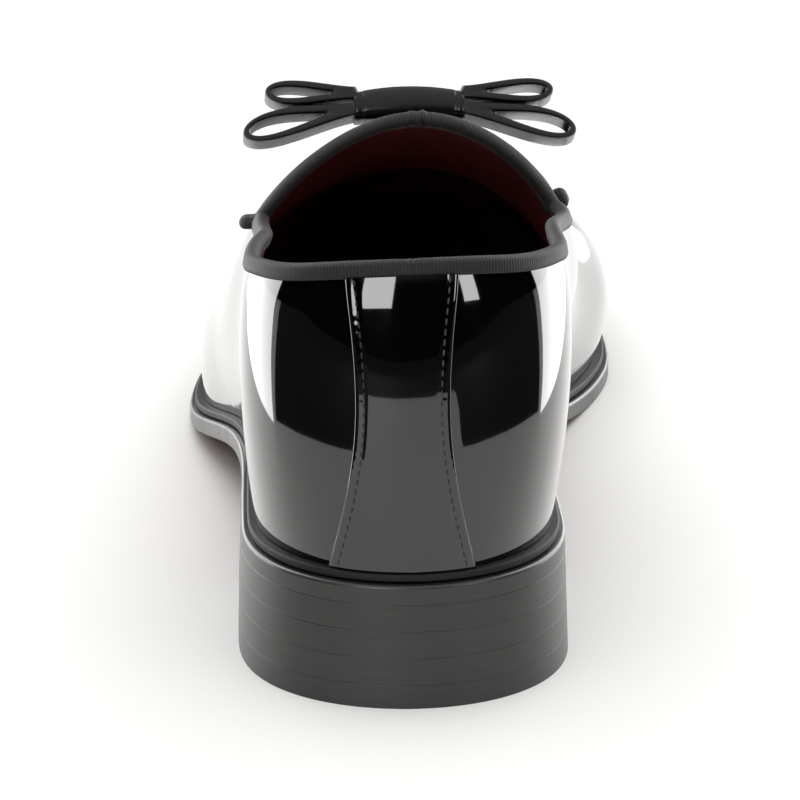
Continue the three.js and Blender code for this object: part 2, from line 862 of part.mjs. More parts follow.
function loopOutline(loop, root, wall) {
  const points = [];
  const steps = 22;
  for (let i = 0; i < steps; i += 1) {
    const angle = 2 * Math.PI * (i + 0.5) / steps;
    const share = (1 - Math.cos(angle)) / 2;
    const belly = Math.sin(angle) * Math.pow(Math.abs(Math.sin(angle / 2)), loop_fullness)
      / fullest_belly;
    const side = Math.sign(Math.sin(angle));
    const pinch = side * Math.pow(1 - share, 3) * Math.min(1, share * pinch_length);
    const legs = wall === 0 ? ribbon_thickness : ribbon_thickness / 4;
    const x = root + (loop.length - root - wall) * share;
    const middle = loop.lift + loop.rise * Math.pow(x / loop.length, loop.bend);
    points.push([x, middle + belly * (loop.height / 2 - wall) + pinch * legs]);
  }
  return points;
}

function loopBody(loop) {
  const outer = loopOutline(loop, 0, 0);
  const inner = loopOutline(loop, loop.length * loop_root, ribbon_thickness);
  const edge = (outline, y) => outline.map(([x, z]) => new THREE.Vector3(x, y, z));
  const half = ribbon_width / 2;
  const rings = [edge(outer, -half), edge(outer, half), edge(inner, half), edge(inner, -half)];
  return closedBody(rings.flat(), ringSides(rings.length, outer.length, true, true));
}

function makeBowLoops() {
  const root = knot_width / 2 + joint_gap;
  const lower = {
    length: bow_spread / 2 - root,
    height: lower_loop_height,
    lift: knot_height * 0.27,
    rise: -lower_loop_droop,
    bend: 1.2,
  };
  const upper = {
    length: lower.length * 0.8,
    height: upper_loop_height,
    lift: knot_height * 0.76,
    rise: knot_height * 0.05,
    bend: 1,
  };
  [['upper', upper], ['lower', lower]].forEach(([level, shape]) => {
    [['medial', 0], ['lateral', Math.PI]].forEach(([side, turn]) => {
      const loop = addPiece(`bow_${level}_loop_${side}`, loopBody(shape), bow_leather);
      loop.geometry.translate(root, 0, 0);
      loop.rotation.z = turn;
      bow_seat.add(loop);
    });
  });
}

// Knot: a soft band drawn round the middle, bent a little over the instep
function makeBowKnot() {
  const stations = 8;
  const section_points = 12;
  const sag = knot_height * 0.12;
  const rings = [];
  for (let i = 0; i <= stations; i += 1) {
    const across = 2 * i / stations - 1;
    const swell = 1 - 0.1 * across * across;
    const ring = [];
    for (let j = 0; j < section_points; j += 1) {
      const angle = 2 * Math.PI * j / section_points;
      const square = (value) => Math.sign(value) * Math.sqrt(Math.abs(value));
      const y = square(Math.cos(angle)) * knot_depth / 2 * swell;
      const z = (square(Math.sin(angle)) * 0.5 + 0.5) * knot_height;
      ring.push(new THREE.Vector3(across * knot_width / 2, y, z - sag * across * across));
    }
    rings.push(ring);
  }
  bow_seat.add(addPiece('bow_knot', carriedBody(rings), bow_leather));
}

makeOutsole();
makeWelt();
makeInsole();
makeHeel();
makeUpper();
makeHeelStrap();
makeCollarBinding();
makeTongueBinding();
makeBowLoops();
makeBowKnot();

bow_seat.rotation.x = bow_slope;
bow_seat.position.set(bow_centre, bow_station, bow_ridge + joint_gap * 2);
shoe.add(bow_seat);

// The shoe stands with the middle of its length and width over the origin
const reach = new THREE.Box3().setFromObject(shoe, true);
const middle = reach.getCenter(new THREE.Vector3());
shoe.position.set(-middle.x, -middle.y, 0);

export default shoe;
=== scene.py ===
"""The left tuxedo slip-on shoe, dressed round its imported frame.

Every length is in millimetres in the shoe's own frame: the back of the heel
at y = 0, the toe along +Y, the medial side along +X and the floor at z = 0.
"""

import bmesh
import bpy
import numpy as np
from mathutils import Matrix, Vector


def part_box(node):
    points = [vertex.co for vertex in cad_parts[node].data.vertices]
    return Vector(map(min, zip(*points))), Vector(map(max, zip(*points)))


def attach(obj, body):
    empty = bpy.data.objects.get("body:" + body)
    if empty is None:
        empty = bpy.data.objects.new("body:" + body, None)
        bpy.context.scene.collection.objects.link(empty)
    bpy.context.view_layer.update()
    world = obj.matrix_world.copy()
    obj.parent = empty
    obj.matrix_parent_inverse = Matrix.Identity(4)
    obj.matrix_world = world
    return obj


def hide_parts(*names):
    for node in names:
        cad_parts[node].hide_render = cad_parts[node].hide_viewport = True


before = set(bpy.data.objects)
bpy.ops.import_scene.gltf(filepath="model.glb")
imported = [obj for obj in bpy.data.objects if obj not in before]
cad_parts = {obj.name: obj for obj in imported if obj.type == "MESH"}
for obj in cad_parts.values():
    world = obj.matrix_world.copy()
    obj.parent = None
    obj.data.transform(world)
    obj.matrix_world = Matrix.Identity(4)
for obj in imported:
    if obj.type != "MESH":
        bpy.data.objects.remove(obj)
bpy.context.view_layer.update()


# Outsole
# One layer of oak tanned leather from heel to toe, cut to the last. It is
# ribbed under the ball, painted burgundy below and inked black at its edge.
SOLE_LENGTH = 304.0
BALL_WIDTH = 96.0
HEEL_WIDTH = 66.5
HEEL_HEIGHT = 22.0
HEEL_LENGTH = 73.0
OUTSOLE_THICKNESS = 4.0
TOE_SPRING = 10.0
JOINT_GAP = 0.3
EDGE_BEVEL = 0.7
HEEL_ROUND = HEEL_WIDTH * 0.585
TOE_ROUND = BALL_WIDTH * 0.583
HEEL_SQUARENESS = 2.5
TOE_SQUARENESS = 2.2
ARCH_BACK = HEEL_LENGTH + 2
BALL_BACK = SOLE_LENGTH * 0.625
BALL_FRONT = SOLE_LENGTH * 0.73
SPRING_POWER = 1.8
FRAME_STATIONS = 72

# Place along the length, centre in ball widths, and the half width as shares
# of half the ball width and half the heel width
SOLE_SECTIONS = np.array([
    [0.000, -0.036, 0.000, 1.000],
    [0.066, -0.036, 0.000, 1.000],
    [0.132, -0.037, 0.000, 1.000],
    [0.197, -0.040, 0.000, 0.985],
    [0.263, -0.047, 0.000, 0.963],
    [0.329, -0.057, 0.190, 0.700],
    [0.395, -0.065, 0.433, 0.400],
    [0.461, -0.064, 0.673, 0.150],
    [0.526, -0.048, 0.875, 0.000],
    [0.592, -0.015, 0.958, 0.000],
    [0.658, 0.029, 0.996, 0.000],
    [0.724, 0.061, 0.954, 0.000],
    [0.789, 0.090, 0.867, 0.000],
    [0.855, 0.115, 0.756, 0.000],
    [0.921, 0.133, 0.712, 0.000],
    [1.000, 0.141, 0.750, 0.000],
]).T


def curve_through(places, values):
    """Natural cubic spline: the smoothest curve through a column of values."""
    places, values = np.asarray(places, float), np.asarray(values, float)
    gaps = np.diff(places)
    count = len(places)
    system = np.eye(count)
    bends = np.zeros(values.shape)
    for i in range(1, count - 1):
        system[i, i - 1:i + 2] = gaps[i - 1], 2 * (gaps[i - 1] + gaps[i]), gaps[i]
        bends[i] = 6 * ((values[i + 1] - values[i]) / gaps[i] - (values[i] - values[i - 1]) / gaps[i - 1])
    bends = np.linalg.solve(system, bends)

    def curve(place):
        at = np.clip(place, places[0], places[-1])
        low = np.clip(np.searchsorted(places, at, side="right") - 1, 0, count - 2)
        span = gaps[low]
        b = (at - places[low]) / span
        a = 1 - b
        if values.ndim > 1:
            a, b, span = a[..., None], b[..., None], span[..., None]
        cubic = (a ** 3 - a) * bends[low] + (b ** 3 - b) * bends[low + 1]
        return a * values[low] + b * values[low + 1] + cubic * span ** 2 / 6

    return curve


sole_centre = curve_through(SOLE_SECTIONS[0], SOLE_SECTIONS[1])
sole_ball = curve_through(SOLE_SECTIONS[0], SOLE_SECTIONS[2])
sole_heel = curve_through(SOLE_SECTIONS[0], SOLE_SECTIONS[3])


def smoothstep(value, low, high):
    """Three t squared less two t cubed, with t from 0 at low to 1 at high."""
    t = np.clip((value - low) / (high - low), 0, 1)
    return t * t * (3 - 2 * t)


def rounded_end(share, squareness):
    """One less the power of what is missing to the full width."""
    return 1 - np.maximum(1 - share, 0) ** squareness


def unit(vectors):
    """Each vector divided by its length."""
    return vectors / np.linalg.norm(vectors, axis=-1, keepdims=True)


def square_step(along, inset):
    """Step of a length, square to a line that runs along a way."""
    along = unit(along)
    return np.stack([-along[..., 1], along[..., 0]], -1) * np.asarray(inset)[..., None]


def centre_line(y):
    return sole_centre(y / SOLE_LENGTH) * BALL_WIDTH


def open_half_width(y):
    along = y / SOLE_LENGTH
    return sole_ball(along) * BALL_WIDTH / 2 + sole_heel(along) * HEEL_WIDTH / 2


def ground_height(y):
    """Bottom of the outsole: level at the heel, down the arch, up at the toe."""
    arch = smoothstep(y, ARCH_BACK, BALL_BACK)
    spring = np.maximum(0, (y - BALL_FRONT) / (SOLE_LENGTH - BALL_FRONT))
    return HEEL_HEIGHT * (1 - arch) + TOE_SPRING * spring ** SPRING_POWER


def sole_edge(turn):
    y = SOLE_LENGTH * (1 - np.cos(turn)) / 2
    heel, toe = y / HEEL_ROUND, (SOLE_LENGTH - y) / TOE_ROUND
    ends = rounded_end(heel, HEEL_SQUARENESS) * rounded_end(toe, TOE_SQUARENESS)
    side = np.where(np.sin(turn) < 0, -1.0, 1.0)
    return np.stack([centre_line(y) + side * open_half_width(y) * np.sqrt(np.maximum(0, ends)), y], -1)


def sole_point(turn, inset):
    """Point on the sole's edge, moved in square to the edge by an inset. The
    turn runs from 0 at the heel, through the medial side, to pi at the toe."""
    step = 0.004
    return sole_edge(turn) + square_step(sole_edge(turn + step) - sole_edge(turn - step), inset)


frame_ring = sole_point(2 * np.pi * np.arange(FRAME_STATIONS) / FRAME_STATIONS, 0.0)
frame_corner = np.array(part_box("outsole")[0]) * 1000
SHIFT = np.array([frame_corner[0] - frame_ring[:, 0].min(), frame_corner[1] - frame_ring[:, 1].min(), 0.0])


def grid_faces(rows, columns, rows_closed=False, columns_closed=False):
    """Squares between neighbours of a grid that is stored row by row."""
    i = np.arange(rows if rows_closed else rows - 1)[:, None]
    j = np.arange(columns if columns_closed else columns - 1)[None, :]
    i_next, j_next = (i + 1) % rows, (j + 1) % columns
    corners = [i * columns + j, i * columns + j_next, i_next * columns + j_next, i_next * columns + j]
    return np.stack(np.broadcast_arrays(*corners), -1).reshape(-1, 4)


def cap_faces(ring, middle):
    """Triangles from each side of a closed ring to one middle point."""
    ring = np.asarray(ring)
    return np.stack([ring, np.roll(ring, -1), np.full(len(ring), middle)], -1)


def volume_of(points, faces):
    """Six times the volume: each face's corners as a box product, summed."""
    total = 0.0
    for group in faces:
        a = points[group[:, 0]]
        for k in range(1, group.shape[1] - 1):
            total += np.einsum("ij,ij", a, np.cross(points[group[:, k]], points[group[:, k + 1]]))
    return total


def make_piece(name, points, faces, material, slot, nodes, merge=False, sharp=0.7, fields=None):
    """Mesh of a piece from its points and faces, turned to face outwards, and
    placed in the frame. It rides on the shoe and stands for its nodes."""
    points = np.asarray(points, float).reshape(-1, 3)
    faces = [np.asarray(group, int) for group in faces]
    if volume_of(points, faces) < 0:
        faces = [group[:, ::-1] for group in faces]
    mesh = bpy.data.meshes.new(name)
    mesh.vertices.add(len(points))
    mesh.vertices.foreach_set("co", ((points + SHIFT) / 1000).astype(np.float32).ravel())
    sizes = np.concatenate([np.full(len(group), group.shape[1]) for group in faces])
    mesh.loops.add(int(sizes.sum()))
    corners = np.concatenate([group.ravel() for group in faces])
    mesh.loops.foreach_set("vertex_index", corners.astype(np.int32))
    mesh.polygons.add(len(sizes))
    mesh.polygons.foreach_set("loop_start", np.concatenate([[0], np.cumsum(sizes)[:-1]]).astype(np.int32))
    mesh.update(calc_edges=True)
    for field, values in (fields or {}).items():
        attribute = mesh.attributes.new(field, "FLOAT", "POINT")
        attribute.data.foreach_set("value", np.asarray(values, np.float32).ravel())
    if merge:
        shape = bmesh.new()
        shape.from_mesh(mesh)
        bmesh.ops.remove_doubles(shape, verts=shape.verts, dist=2e-6)
        shape.to_mesh(mesh)
        shape.free()
    mesh.shade_smooth()
    mesh.set_sharp_from_angle(angle=sharp)
    mesh.materials.append(material)
    piece = bpy.data.objects.new(name, mesh)
    bpy.context.collection.objects.link(piece)
    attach(piece, "root")
    if nodes:
        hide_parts(*nodes)
    return piece


def linear(code):
    """Linear colour of an sRGB hex code."""
    parts = [int(code[k:k + 2], 16) / 255 for k in (0, 2, 4)]
    return tuple(p / 12.92 if p <= 0.04045 else ((p + 0.055) / 1.055) ** 2.4 for p in parts) + (1.0,)


def add_node(owner, kind, inputs=(), **settings):
    """Adds a shader node with its settings, its values and its links."""
    node = owner.node_tree.nodes.new("ShaderNode" + kind)
    for name, value in settings.items():
        setattr(node, name, value)
    for name, value in dict(inputs).items():
        if isinstance(value, bpy.types.NodeSocket):
            owner.node_tree.links.new(value, node.inputs[name])
        else:
            node.inputs[name].default_value = value
    return node


def new_material(name):
    material = bpy.data.materials.new(name)
    material.use_nodes = True
    material.node_tree.nodes.clear()
    return material


def level_lines(material, spot):
    """Noise pressed flat, so that it runs in level lines 0.4 mm apart."""
    pressed = add_node(material, "Mapping", {
        "Vector": spot, "Scale": (1000 / 25, 1000 / 25, 1000 / 0.42)})
    lines = add_node(material, "TexNoise", {
        "Vector": pressed.outputs["Vector"], "Scale": 1.0, "Detail": 6.0, "Roughness": 0.75})
    return lines.outputs["Fac"]


# Painted sole leather: a burgundy film over fine pores, satin, a little
# darker where the brush left more, scuffed pale on the rib tops, and with
# painted shade darkening it under the heel and just ahead of its breast.
sole_paint = new_material("painted_sole_leather")
sole_spot = add_node(sole_paint, "TexCoord").outputs["Object"]
clouds = add_node(sole_paint, "TexNoise", {"Vector": sole_spot, "Scale": 1000 / 45, "Detail": 3.0})
film = add_node(sole_paint, "MapRange", {
    "Value": clouds.outputs["Fac"], "From Min": 0.35, "From Max": 0.7})
paint = add_node(sole_paint, "Mix", {
    "Factor": film.outputs["Result"], "A": linear("4c171b"), "B": linear("632528")}, data_type="RGBA")
# Painted shade: a darker burgundy where the heel shades the sole by its breast.
breast = add_node(sole_paint, "Mix", {
    "Factor": add_node(sole_paint, "Attribute", attribute_name="painted_breast_shade").outputs["Fac"],
    "A": paint.outputs["Result"], "B": linear("360c0f")}, data_type="RGBA")
rubbed = add_node(sole_paint, "Mix", {
    "Factor": add_node(sole_paint, "Attribute", attribute_name="rubbed").outputs["Fac"],
    "A": breast.outputs["Result"], "B": linear("9c5f61")}, data_type="RGBA")
ink = add_node(sole_paint, "Mix", {
    "Factor": level_lines(sole_paint, sole_spot), "A": linear("0f0e0e"), "B": linear("343230")},
    data_type="RGBA")
inked = add_node(sole_paint, "Mix", {
    "Factor": add_node(sole_paint, "Attribute", attribute_name="edge_ink").outputs["Fac"],
    "A": rubbed.outputs["Result"], "B": ink.outputs["Result"]}, data_type="RGBA")
brushed = add_node(sole_paint, "TexNoise", {"Vector": sole_spot, "Scale": 1000 / 9, "Detail": 4.0})
sole_gloss = add_node(sole_paint, "MapRange", {
    "Value": brushed.outputs["Fac"], "To Min": 0.3, "To Max": 0.46})
pores = add_node(sole_paint, "TexNoise", {"Vector": sole_spot, "Scale": 1000 / 0.9, "Detail": 5.0})
sole_bump = add_node(sole_paint, "Bump", {"Height": pores.outputs["Fac"], "Distance": 0.035 / 1000})
sole_shader = add_node(sole_paint, "BsdfPrincipled", {
    "Base Color": inked.outputs["Result"], "Roughness": sole_gloss.outputs["Result"], "IOR": 1.5,
    "Coat Weight": 0.25, "Coat Roughness": 0.22, "Normal": sole_bump.outputs["Normal"]})
add_node(sole_paint, "OutputMaterial", {"Surface": sole_shader.outputs["BSDF"]})

OUTSOLE_TURNS = 470
BOTTOM_COLUMNS = 150
TOP_COLUMNS = 10
OUTLINE_POINTS = 720
FIELD_INSET = 11.5
FIELD_BACK = 161.0
FIELD_CORNER = 24.0
RIB_PITCH = 2.8
RIB_TURN = np.radians(48)
RIB_DEPTH = 0.42
GROOVE_WIDTH = 0.35
GROOVE_DEPTH = 0.22
FIELD_DROP = 0.12
FIELD_RIPPLE = 0.22
FIELD_FADE = 0.9
RIB_FLATNESS = 0.7

outline = sole_edge(np.linspace(0, 2 * np.pi, OUTLINE_POINTS + 1)[:-1])


def distance_to_edge(x, y):
    """Smallest of the distances to the points of the sole's outline."""
    nearest = np.full(x.shape, 1e9)
    for px, py in outline:
        np.minimum(nearest, (x - px) ** 2 + (y - py) ** 2, out=nearest)
    return np.sqrt(nearest)


def sole_relief(x, y):
    """Height cut into the bottom. Inside the field, which is inset from the
    edge and closed behind by a line with round corners, rounded ribs lie at
    an angle. Behind it a scribed line runs to the heel at the same inset."""
    depth = distance_to_edge(x, y)
    side = FIELD_INSET - depth + FIELD_CORNER
    back = FIELD_BACK - y + FIELD_CORNER
    round_corner = np.hypot(np.maximum(side, 0), np.maximum(back, 0))
    outside = np.minimum(np.maximum(side, back), 0) + round_corner - FIELD_CORNER
    phase = (np.cos(RIB_TURN) * y - np.sin(RIB_TURN) * x) / RIB_PITCH
    ripple = FIELD_RIPPLE * np.sin(2 * np.pi * phase)
    inside = smoothstep(-outside + ripple, 0.0, FIELD_FADE)
    rib = (0.5 + 0.5 * np.cos(2 * np.pi * phase)) ** RIB_FLATNESS
    line = np.exp(-((depth - FIELD_INSET) / GROOVE_WIDTH) ** 2) * smoothstep(FIELD_BACK + 22 - y, 0, 12)
    rim = np.exp(-((outside - 0.1) / 0.4) ** 2) * smoothstep(y, FIELD_BACK - 4, FIELD_BACK + 30)
    scratch = 0.55 + 0.45 * np.sin(y * 1.9 + 3 * np.sin(y * 0.31)) * np.sin(y * 0.83 + x * 0.2)
    cut = inside * RIB_DEPTH * (1 - rib) + FIELD_DROP * inside + line * GROOVE_DEPTH * scratch
    pale = 0.5 * rim * scratch + 0.35 * line * scratch ** 2 + 0.1 * inside * rib
    return cut, pale


def edge_profile(low, high, foot_bevel, top_bevel, steps=5):
    """Insets and lifts round an edge: a quarter turn at its foot and another
    at its top. The bevels may be given station by station."""
    turn = np.linspace(0, np.pi / 2, steps)
    foot_bevel, top_bevel = np.asarray(foot_bevel)[..., None], np.asarray(top_bevel)[..., None]
    sine, cosine, hold = np.sin(turn), np.cos(turn), np.append(np.zeros(steps), 0.2)
    foot_inset = foot_bevel * np.append(1 - sine, 0)
    foot_lift = low + foot_bevel * np.append(1 - cosine, 1) + hold
    top_inset = top_bevel * np.append(0, 1 - cosine)
    top_lift = high - top_bevel * np.append(1, 1 - sine) - hold[::-1]
    shape = np.broadcast_shapes(foot_inset.shape[:-1], top_inset.shape[:-1]) + (steps + 1,)
    spread = [np.broadcast_to(part, shape) for part in (foot_inset, top_inset, foot_lift, top_lift)]
    return np.concatenate(spread[:2], -1), np.concatenate(spread[2:], -1)


def station_body(turns, edge_point, profile, columns, top_columns):
    """Plate from heel to toe. Each station is one closed section: across the
    bottom, up the medial edge, back over the top, and down the lateral one."""
    insets, lifts = [np.broadcast_to(part, (len(turns), part.shape[-1])) for part in profile]
    medial = np.stack([edge_point(turns, inset) for inset in insets.T], 1)
    lateral = np.stack([edge_point(-turns, inset) for inset in insets.T], 1)
    under = lateral[:, :1] + (medial[:, :1] - lateral[:, :1]) * np.linspace(0, 1, columns)[:, None]
    over = medial[:, -1:] + (lateral[:, -1:] - medial[:, -1:]) * np.linspace(0, 1, top_columns)[:, None]
    flat = np.concatenate([under, medial[:, 1:-1], over, lateral[:, -2:0:-1]], 1)
    lift = np.concatenate([
        np.repeat(lifts[:, :1], columns, 1), lifts[:, 1:-1], np.repeat(lifts[:, -1:], top_columns, 1),
        lifts[:, -2:0:-1]], 1)
    x, y = flat[..., 0], flat[..., 1]
    z = ground_height(np.clip(y, 0, SOLE_LENGTH)) + lift
    return np.stack([x, y, z], -1)


sole_turns = np.linspace(0, np.pi, OUTSOLE_TURNS + 1)
sole_way = SOLE_LENGTH * (1 - np.cos(sole_turns)) / 2
foot_bevel = EDGE_BEVEL * (0.05 + 0.95 * smoothstep(sole_way, HEEL_LENGTH - 6, HEEL_LENGTH + 4))
sole_points = station_body(
    sole_turns, sole_point, edge_profile(0, OUTSOLE_THICKNESS, foot_bevel, EDGE_BEVEL), BOTTOM_COLUMNS,
    TOP_COLUMNS)
bottom_x, bottom_y = sole_points[:, :BOTTOM_COLUMNS, 0], sole_points[:, :BOTTOM_COLUMNS, 1]
cut, pale = sole_relief(bottom_x, bottom_y)
sole_points[:, :BOTTOM_COLUMNS, 2] += cut
edge_ink = np.ones(sole_points.shape[:2])
edge_ink[:, :BOTTOM_COLUMNS] = 0
rubbed_share = np.zeros(sole_points.shape[:2])
rubbed_share[:, :BOTTOM_COLUMNS] = pale
# Share of painted shade on the bottom: full under the heel, gone about 30 mm ahead of its breast.
painted_breast_shade = np.zeros(sole_points.shape[:2])
painted_breast_shade[:, :BOTTOM_COLUMNS] = 1 - smoothstep(bottom_y, HEEL_LENGTH - 4, HEEL_LENGTH + 30)
sole_faces = [grid_faces(*sole_points.shape[:2], columns_closed=True)]
sole_fields = {"edge_ink": edge_ink, "rubbed": rubbed_share, "painted_breast_shade": painted_breast_shade}
make_piece(
    "sole", sole_points, sole_faces, sole_paint, "sole_leather", ["outsole"], merge=True, fields=sole_fields)


# Welt
# A strip of black leather round the feather line, set back from the sole's
# edge, with the seam that holds it sunk in a channel.
WELT_THICKNESS = 1.7
WELT_SETBACK = 1.2
WELT_WIDTH = 11.0
WELT_ROUND = 0.5
WELT_TURNS = 480
WELT_LIFT = OUTSOLE_THICKNESS + JOINT_GAP


def plain_leather(name, cloud, dark, light, grain, roughness, ior):
    """Leather whose colour drifts in clouds and whose gloss is broken by its
    fibres, the sizes of both in millimetres."""
    leather = new_material(name)
    spot = add_node(leather, "TexCoord").outputs["Object"]
    clouds = add_node(leather, "TexNoise", {"Vector": spot, "Scale": 1000 / cloud, "Detail": 4.0})
    colour = add_node(leather, "Mix", {
        "Factor": clouds.outputs["Fac"], "A": linear(dark), "B": linear(light)}, data_type="RGBA")
    fibres = add_node(leather, "TexNoise", {"Vector": spot, "Scale": 1000 / grain, "Detail": 4.0})
    bump = add_node(leather, "Bump", {"Height": fibres.outputs["Fac"], "Distance": 0.08 / 1000})
    shader = add_node(leather, "BsdfPrincipled", {
        "Base Color": colour.outputs["Result"], "Roughness": roughness, "IOR": ior,
        "Normal": bump.outputs["Normal"]})
    add_node(leather, "OutputMaterial", {"Surface": shader.outputs["BSDF"]})
    return leather


# Inked edge leather: black wax over a cut edge, dull, its fibres still seen.
edge_ink_leather = plain_leather("black_waxed_edge", 4, "060606", "121111", 0.7, 0.62, 1.4)

welt_turns = np.linspace(0, 2 * np.pi, WELT_TURNS + 1)[:-1]
welt_inset, welt_lift = edge_profile(WELT_LIFT, WELT_LIFT + WELT_THICKNESS, WELT_ROUND, WELT_ROUND)
welt_section = np.concatenate([np.stack([welt_inset + WELT_SETBACK, welt_lift], -1), [
    [WELT_SETBACK + WELT_WIDTH, WELT_LIFT + WELT_THICKNESS], [WELT_SETBACK + WELT_WIDTH, WELT_LIFT]]])
welt_flat = np.stack([sole_point(welt_turns, inset) for inset in welt_section[:, 0]], 0)
welt_z = ground_height(np.clip(welt_flat[..., 1], 0, SOLE_LENGTH)) + welt_section[:, 1][:, None]
welt_points = np.concatenate([welt_flat, welt_z[..., None]], -1)
make_piece(
    "welt_strip", welt_points, [grid_faces(*welt_points.shape[:2], True, True)], edge_ink_leather,
    "black_edge", ["welt"])


# Heel lifts and top piece
# Lifts of leather nailed and glued under the seat, then a top piece with a
# leather front and a rubber back. The stack is sanded round, inked black and
# burnished on a wheel, which leaves fine level lines.
BREAST_DEPTH = 5.0
HEEL_FLARE = 1.0
FLARE_SETBACK = 0.2
LIFT_COUNT = 3
TIP_THICKNESS = 5.0
RUBBER_LENGTH = 35.5
LAYER_ROUND = 0.05
SEAT_GAP = 0.02
SIDE_POINTS = 90
BREAST_POINTS = 42

# Burnished heel stack: black ink, satin, with level scratches a hair wide,
# drawn here about 0.4 mm apart so that they show.
stack_leather = new_material("burnished_heel_stack")
stack_spot = add_node(stack_leather, "TexCoord").outputs["Object"]
stack_lines = level_lines(stack_leather, stack_spot)
stack_tone = add_node(stack_leather, "MapRange", {"Value": stack_lines, "From Min": 0.3, "From Max": 0.75})
stack_colour = add_node(stack_leather, "Mix", {
    "Factor": stack_tone.outputs["Result"], "A": linear("100f0e"), "B": linear("2a2826")}, data_type="RGBA")
line_bump = add_node(stack_leather, "Bump", {"Height": stack_lines, "Distance": 0.05 / 1000})
stack_shader = add_node(stack_leather, "BsdfPrincipled", {
    "Base Color": stack_colour.outputs["Result"], "Roughness": 0.42, "IOR": 1.5,
    "Coat Weight": 0.35, "Coat Roughness": 0.3, "Normal": line_bump.outputs["Normal"]})
add_node(stack_leather, "OutputMaterial", {"Surface": stack_shader.outputs["BSDF"]})

# Heel rubber: moulded black compound, pebbled and dull underneath. Its side
# is buffed and waxed with the stack, so it carries the same level lines.
heel_rubber = new_material("heel_rubber")
rubber_spot = add_node(heel_rubber, "TexCoord").outputs["Object"]
tread = add_node(heel_rubber, "Attribute", attribute_name="tread").outputs["Fac"]
pebble = add_node(heel_rubber, "TexNoise", {"Vector": rubber_spot, "Scale": 1000 / 0.55, "Detail": 2.0})
tread_colour = add_node(heel_rubber, "Mix", {
    "Factor": pebble.outputs["Fac"], "A": linear("161616"), "B": linear("2a2a2a")}, data_type="RGBA")
buffed_lines = level_lines(heel_rubber, rubber_spot)
buffed_tone = add_node(heel_rubber, "MapRange", {"Value": buffed_lines, "From Min": 0.3, "From Max": 0.75})
buffed_colour = add_node(heel_rubber, "Mix", {
    "Factor": buffed_tone.outputs["Result"], "A": linear("121111"), "B": linear("2c2a29")}, data_type="RGBA")
rubber_colour = add_node(heel_rubber, "Mix", {
    "Factor": tread, "A": buffed_colour.outputs["Result"], "B": tread_colour.outputs["Result"]},
    data_type="RGBA")
rubber_relief = add_node(heel_rubber, "Mix", {
    "Factor": tread, "A": buffed_lines, "B": pebble.outputs["Fac"]})
rubber_gloss = add_node(heel_rubber, "MapRange", {"Value": tread, "To Min": 0.42, "To Max": 0.62})
rubber_bump = add_node(heel_rubber, "Bump", {
    "Height": rubber_relief.outputs["Result"], "Distance": 0.06 / 1000})
rubber_shader = add_node(heel_rubber, "BsdfPrincipled", {
    "Base Color": rubber_colour.outputs["Result"], "Roughness": rubber_gloss.outputs["Result"], "IOR": 1.5,
    "Coat Weight": 0.3, "Coat Roughness": 0.3, "Normal": rubber_bump.outputs["Normal"]})
add_node(heel_rubber, "OutputMaterial", {"Surface": rubber_shader.outputs["BSDF"]})


def heel_outline(start, end, outset, hollow):
    """Outline of a layer: up the medial side from start to end, across the
    breast, which is hollowed by a parabola, and back down the lateral side."""
    corner = np.linspace(0, 1, SIDE_POINTS) ** 2
    turns = np.arccos(1 - 2 * (start + (end - start) * corner) / SOLE_LENGTH)
    medial, lateral = sole_point(turns, -outset), sole_point(2 * np.pi - turns, -outset)
    medial[-1, 1] = lateral[-1, 1] = end
    if start > 0:
        medial[0, 1] = lateral[0, 1] = start
    share = np.linspace(0, 1, BREAST_POINTS)[1:-1]
    front_x = medial[-1, 0] + (lateral[-1, 0] - medial[-1, 0]) * share
    front = np.stack([front_x, end - 4 * share * (1 - share) * hollow], -1)
    if start > 0:
        back = lateral[0] + (medial[0] - lateral[0]) * share[:, None]
        return np.concatenate([medial, front, lateral[::-1], back])
    return np.concatenate([medial, front, lateral[:0:-1]])


def tube_faces(count, size):
    """Faces of a tube of closed rings that are stored ring by ring, and then
    the middle points that close its first end and its last."""
    first = np.arange(size)
    return [
        grid_faces(count, size, columns_closed=True), cap_faces(first[::-1], count * size),
        cap_faces((count - 1) * size + first, count * size + 1)]


def layer_body(start, end, low, high, hollow):
    """Layer between two levels, its rims rounded, with a flat face each end.
    A ring beside each rim keeps the faces flat to the eye."""
    rise, turn_in = np.array([[0, 0, 0.3, 1, 6], [8, 1, 0.3, 0, 0]]) * LAYER_ROUND
    levels = np.concatenate([low + rise, high - rise[::-1]])
    insets = np.concatenate([turn_in, turn_in[::-1]])
    outsets = HEEL_FLARE * (1 - FLARE_SETBACK) * (1 - levels / HEEL_HEIGHT)
    rings = []
    middle_y = (start + end) / 2
    centre = np.array([float(centre_line(middle_y)), middle_y])
    for level, inset, outset in zip(levels, insets, outsets):
        ring = heel_outline(start, end, outset, hollow)
        rings.append(np.column_stack([ring - unit(ring - centre) * inset, np.full(len(ring), level)]))
    caps = [np.append(centre, levels[0]), np.append(centre, levels[-1])]
    return np.concatenate(rings + [np.array(caps)]), tube_faces(len(rings), len(rings[0]))


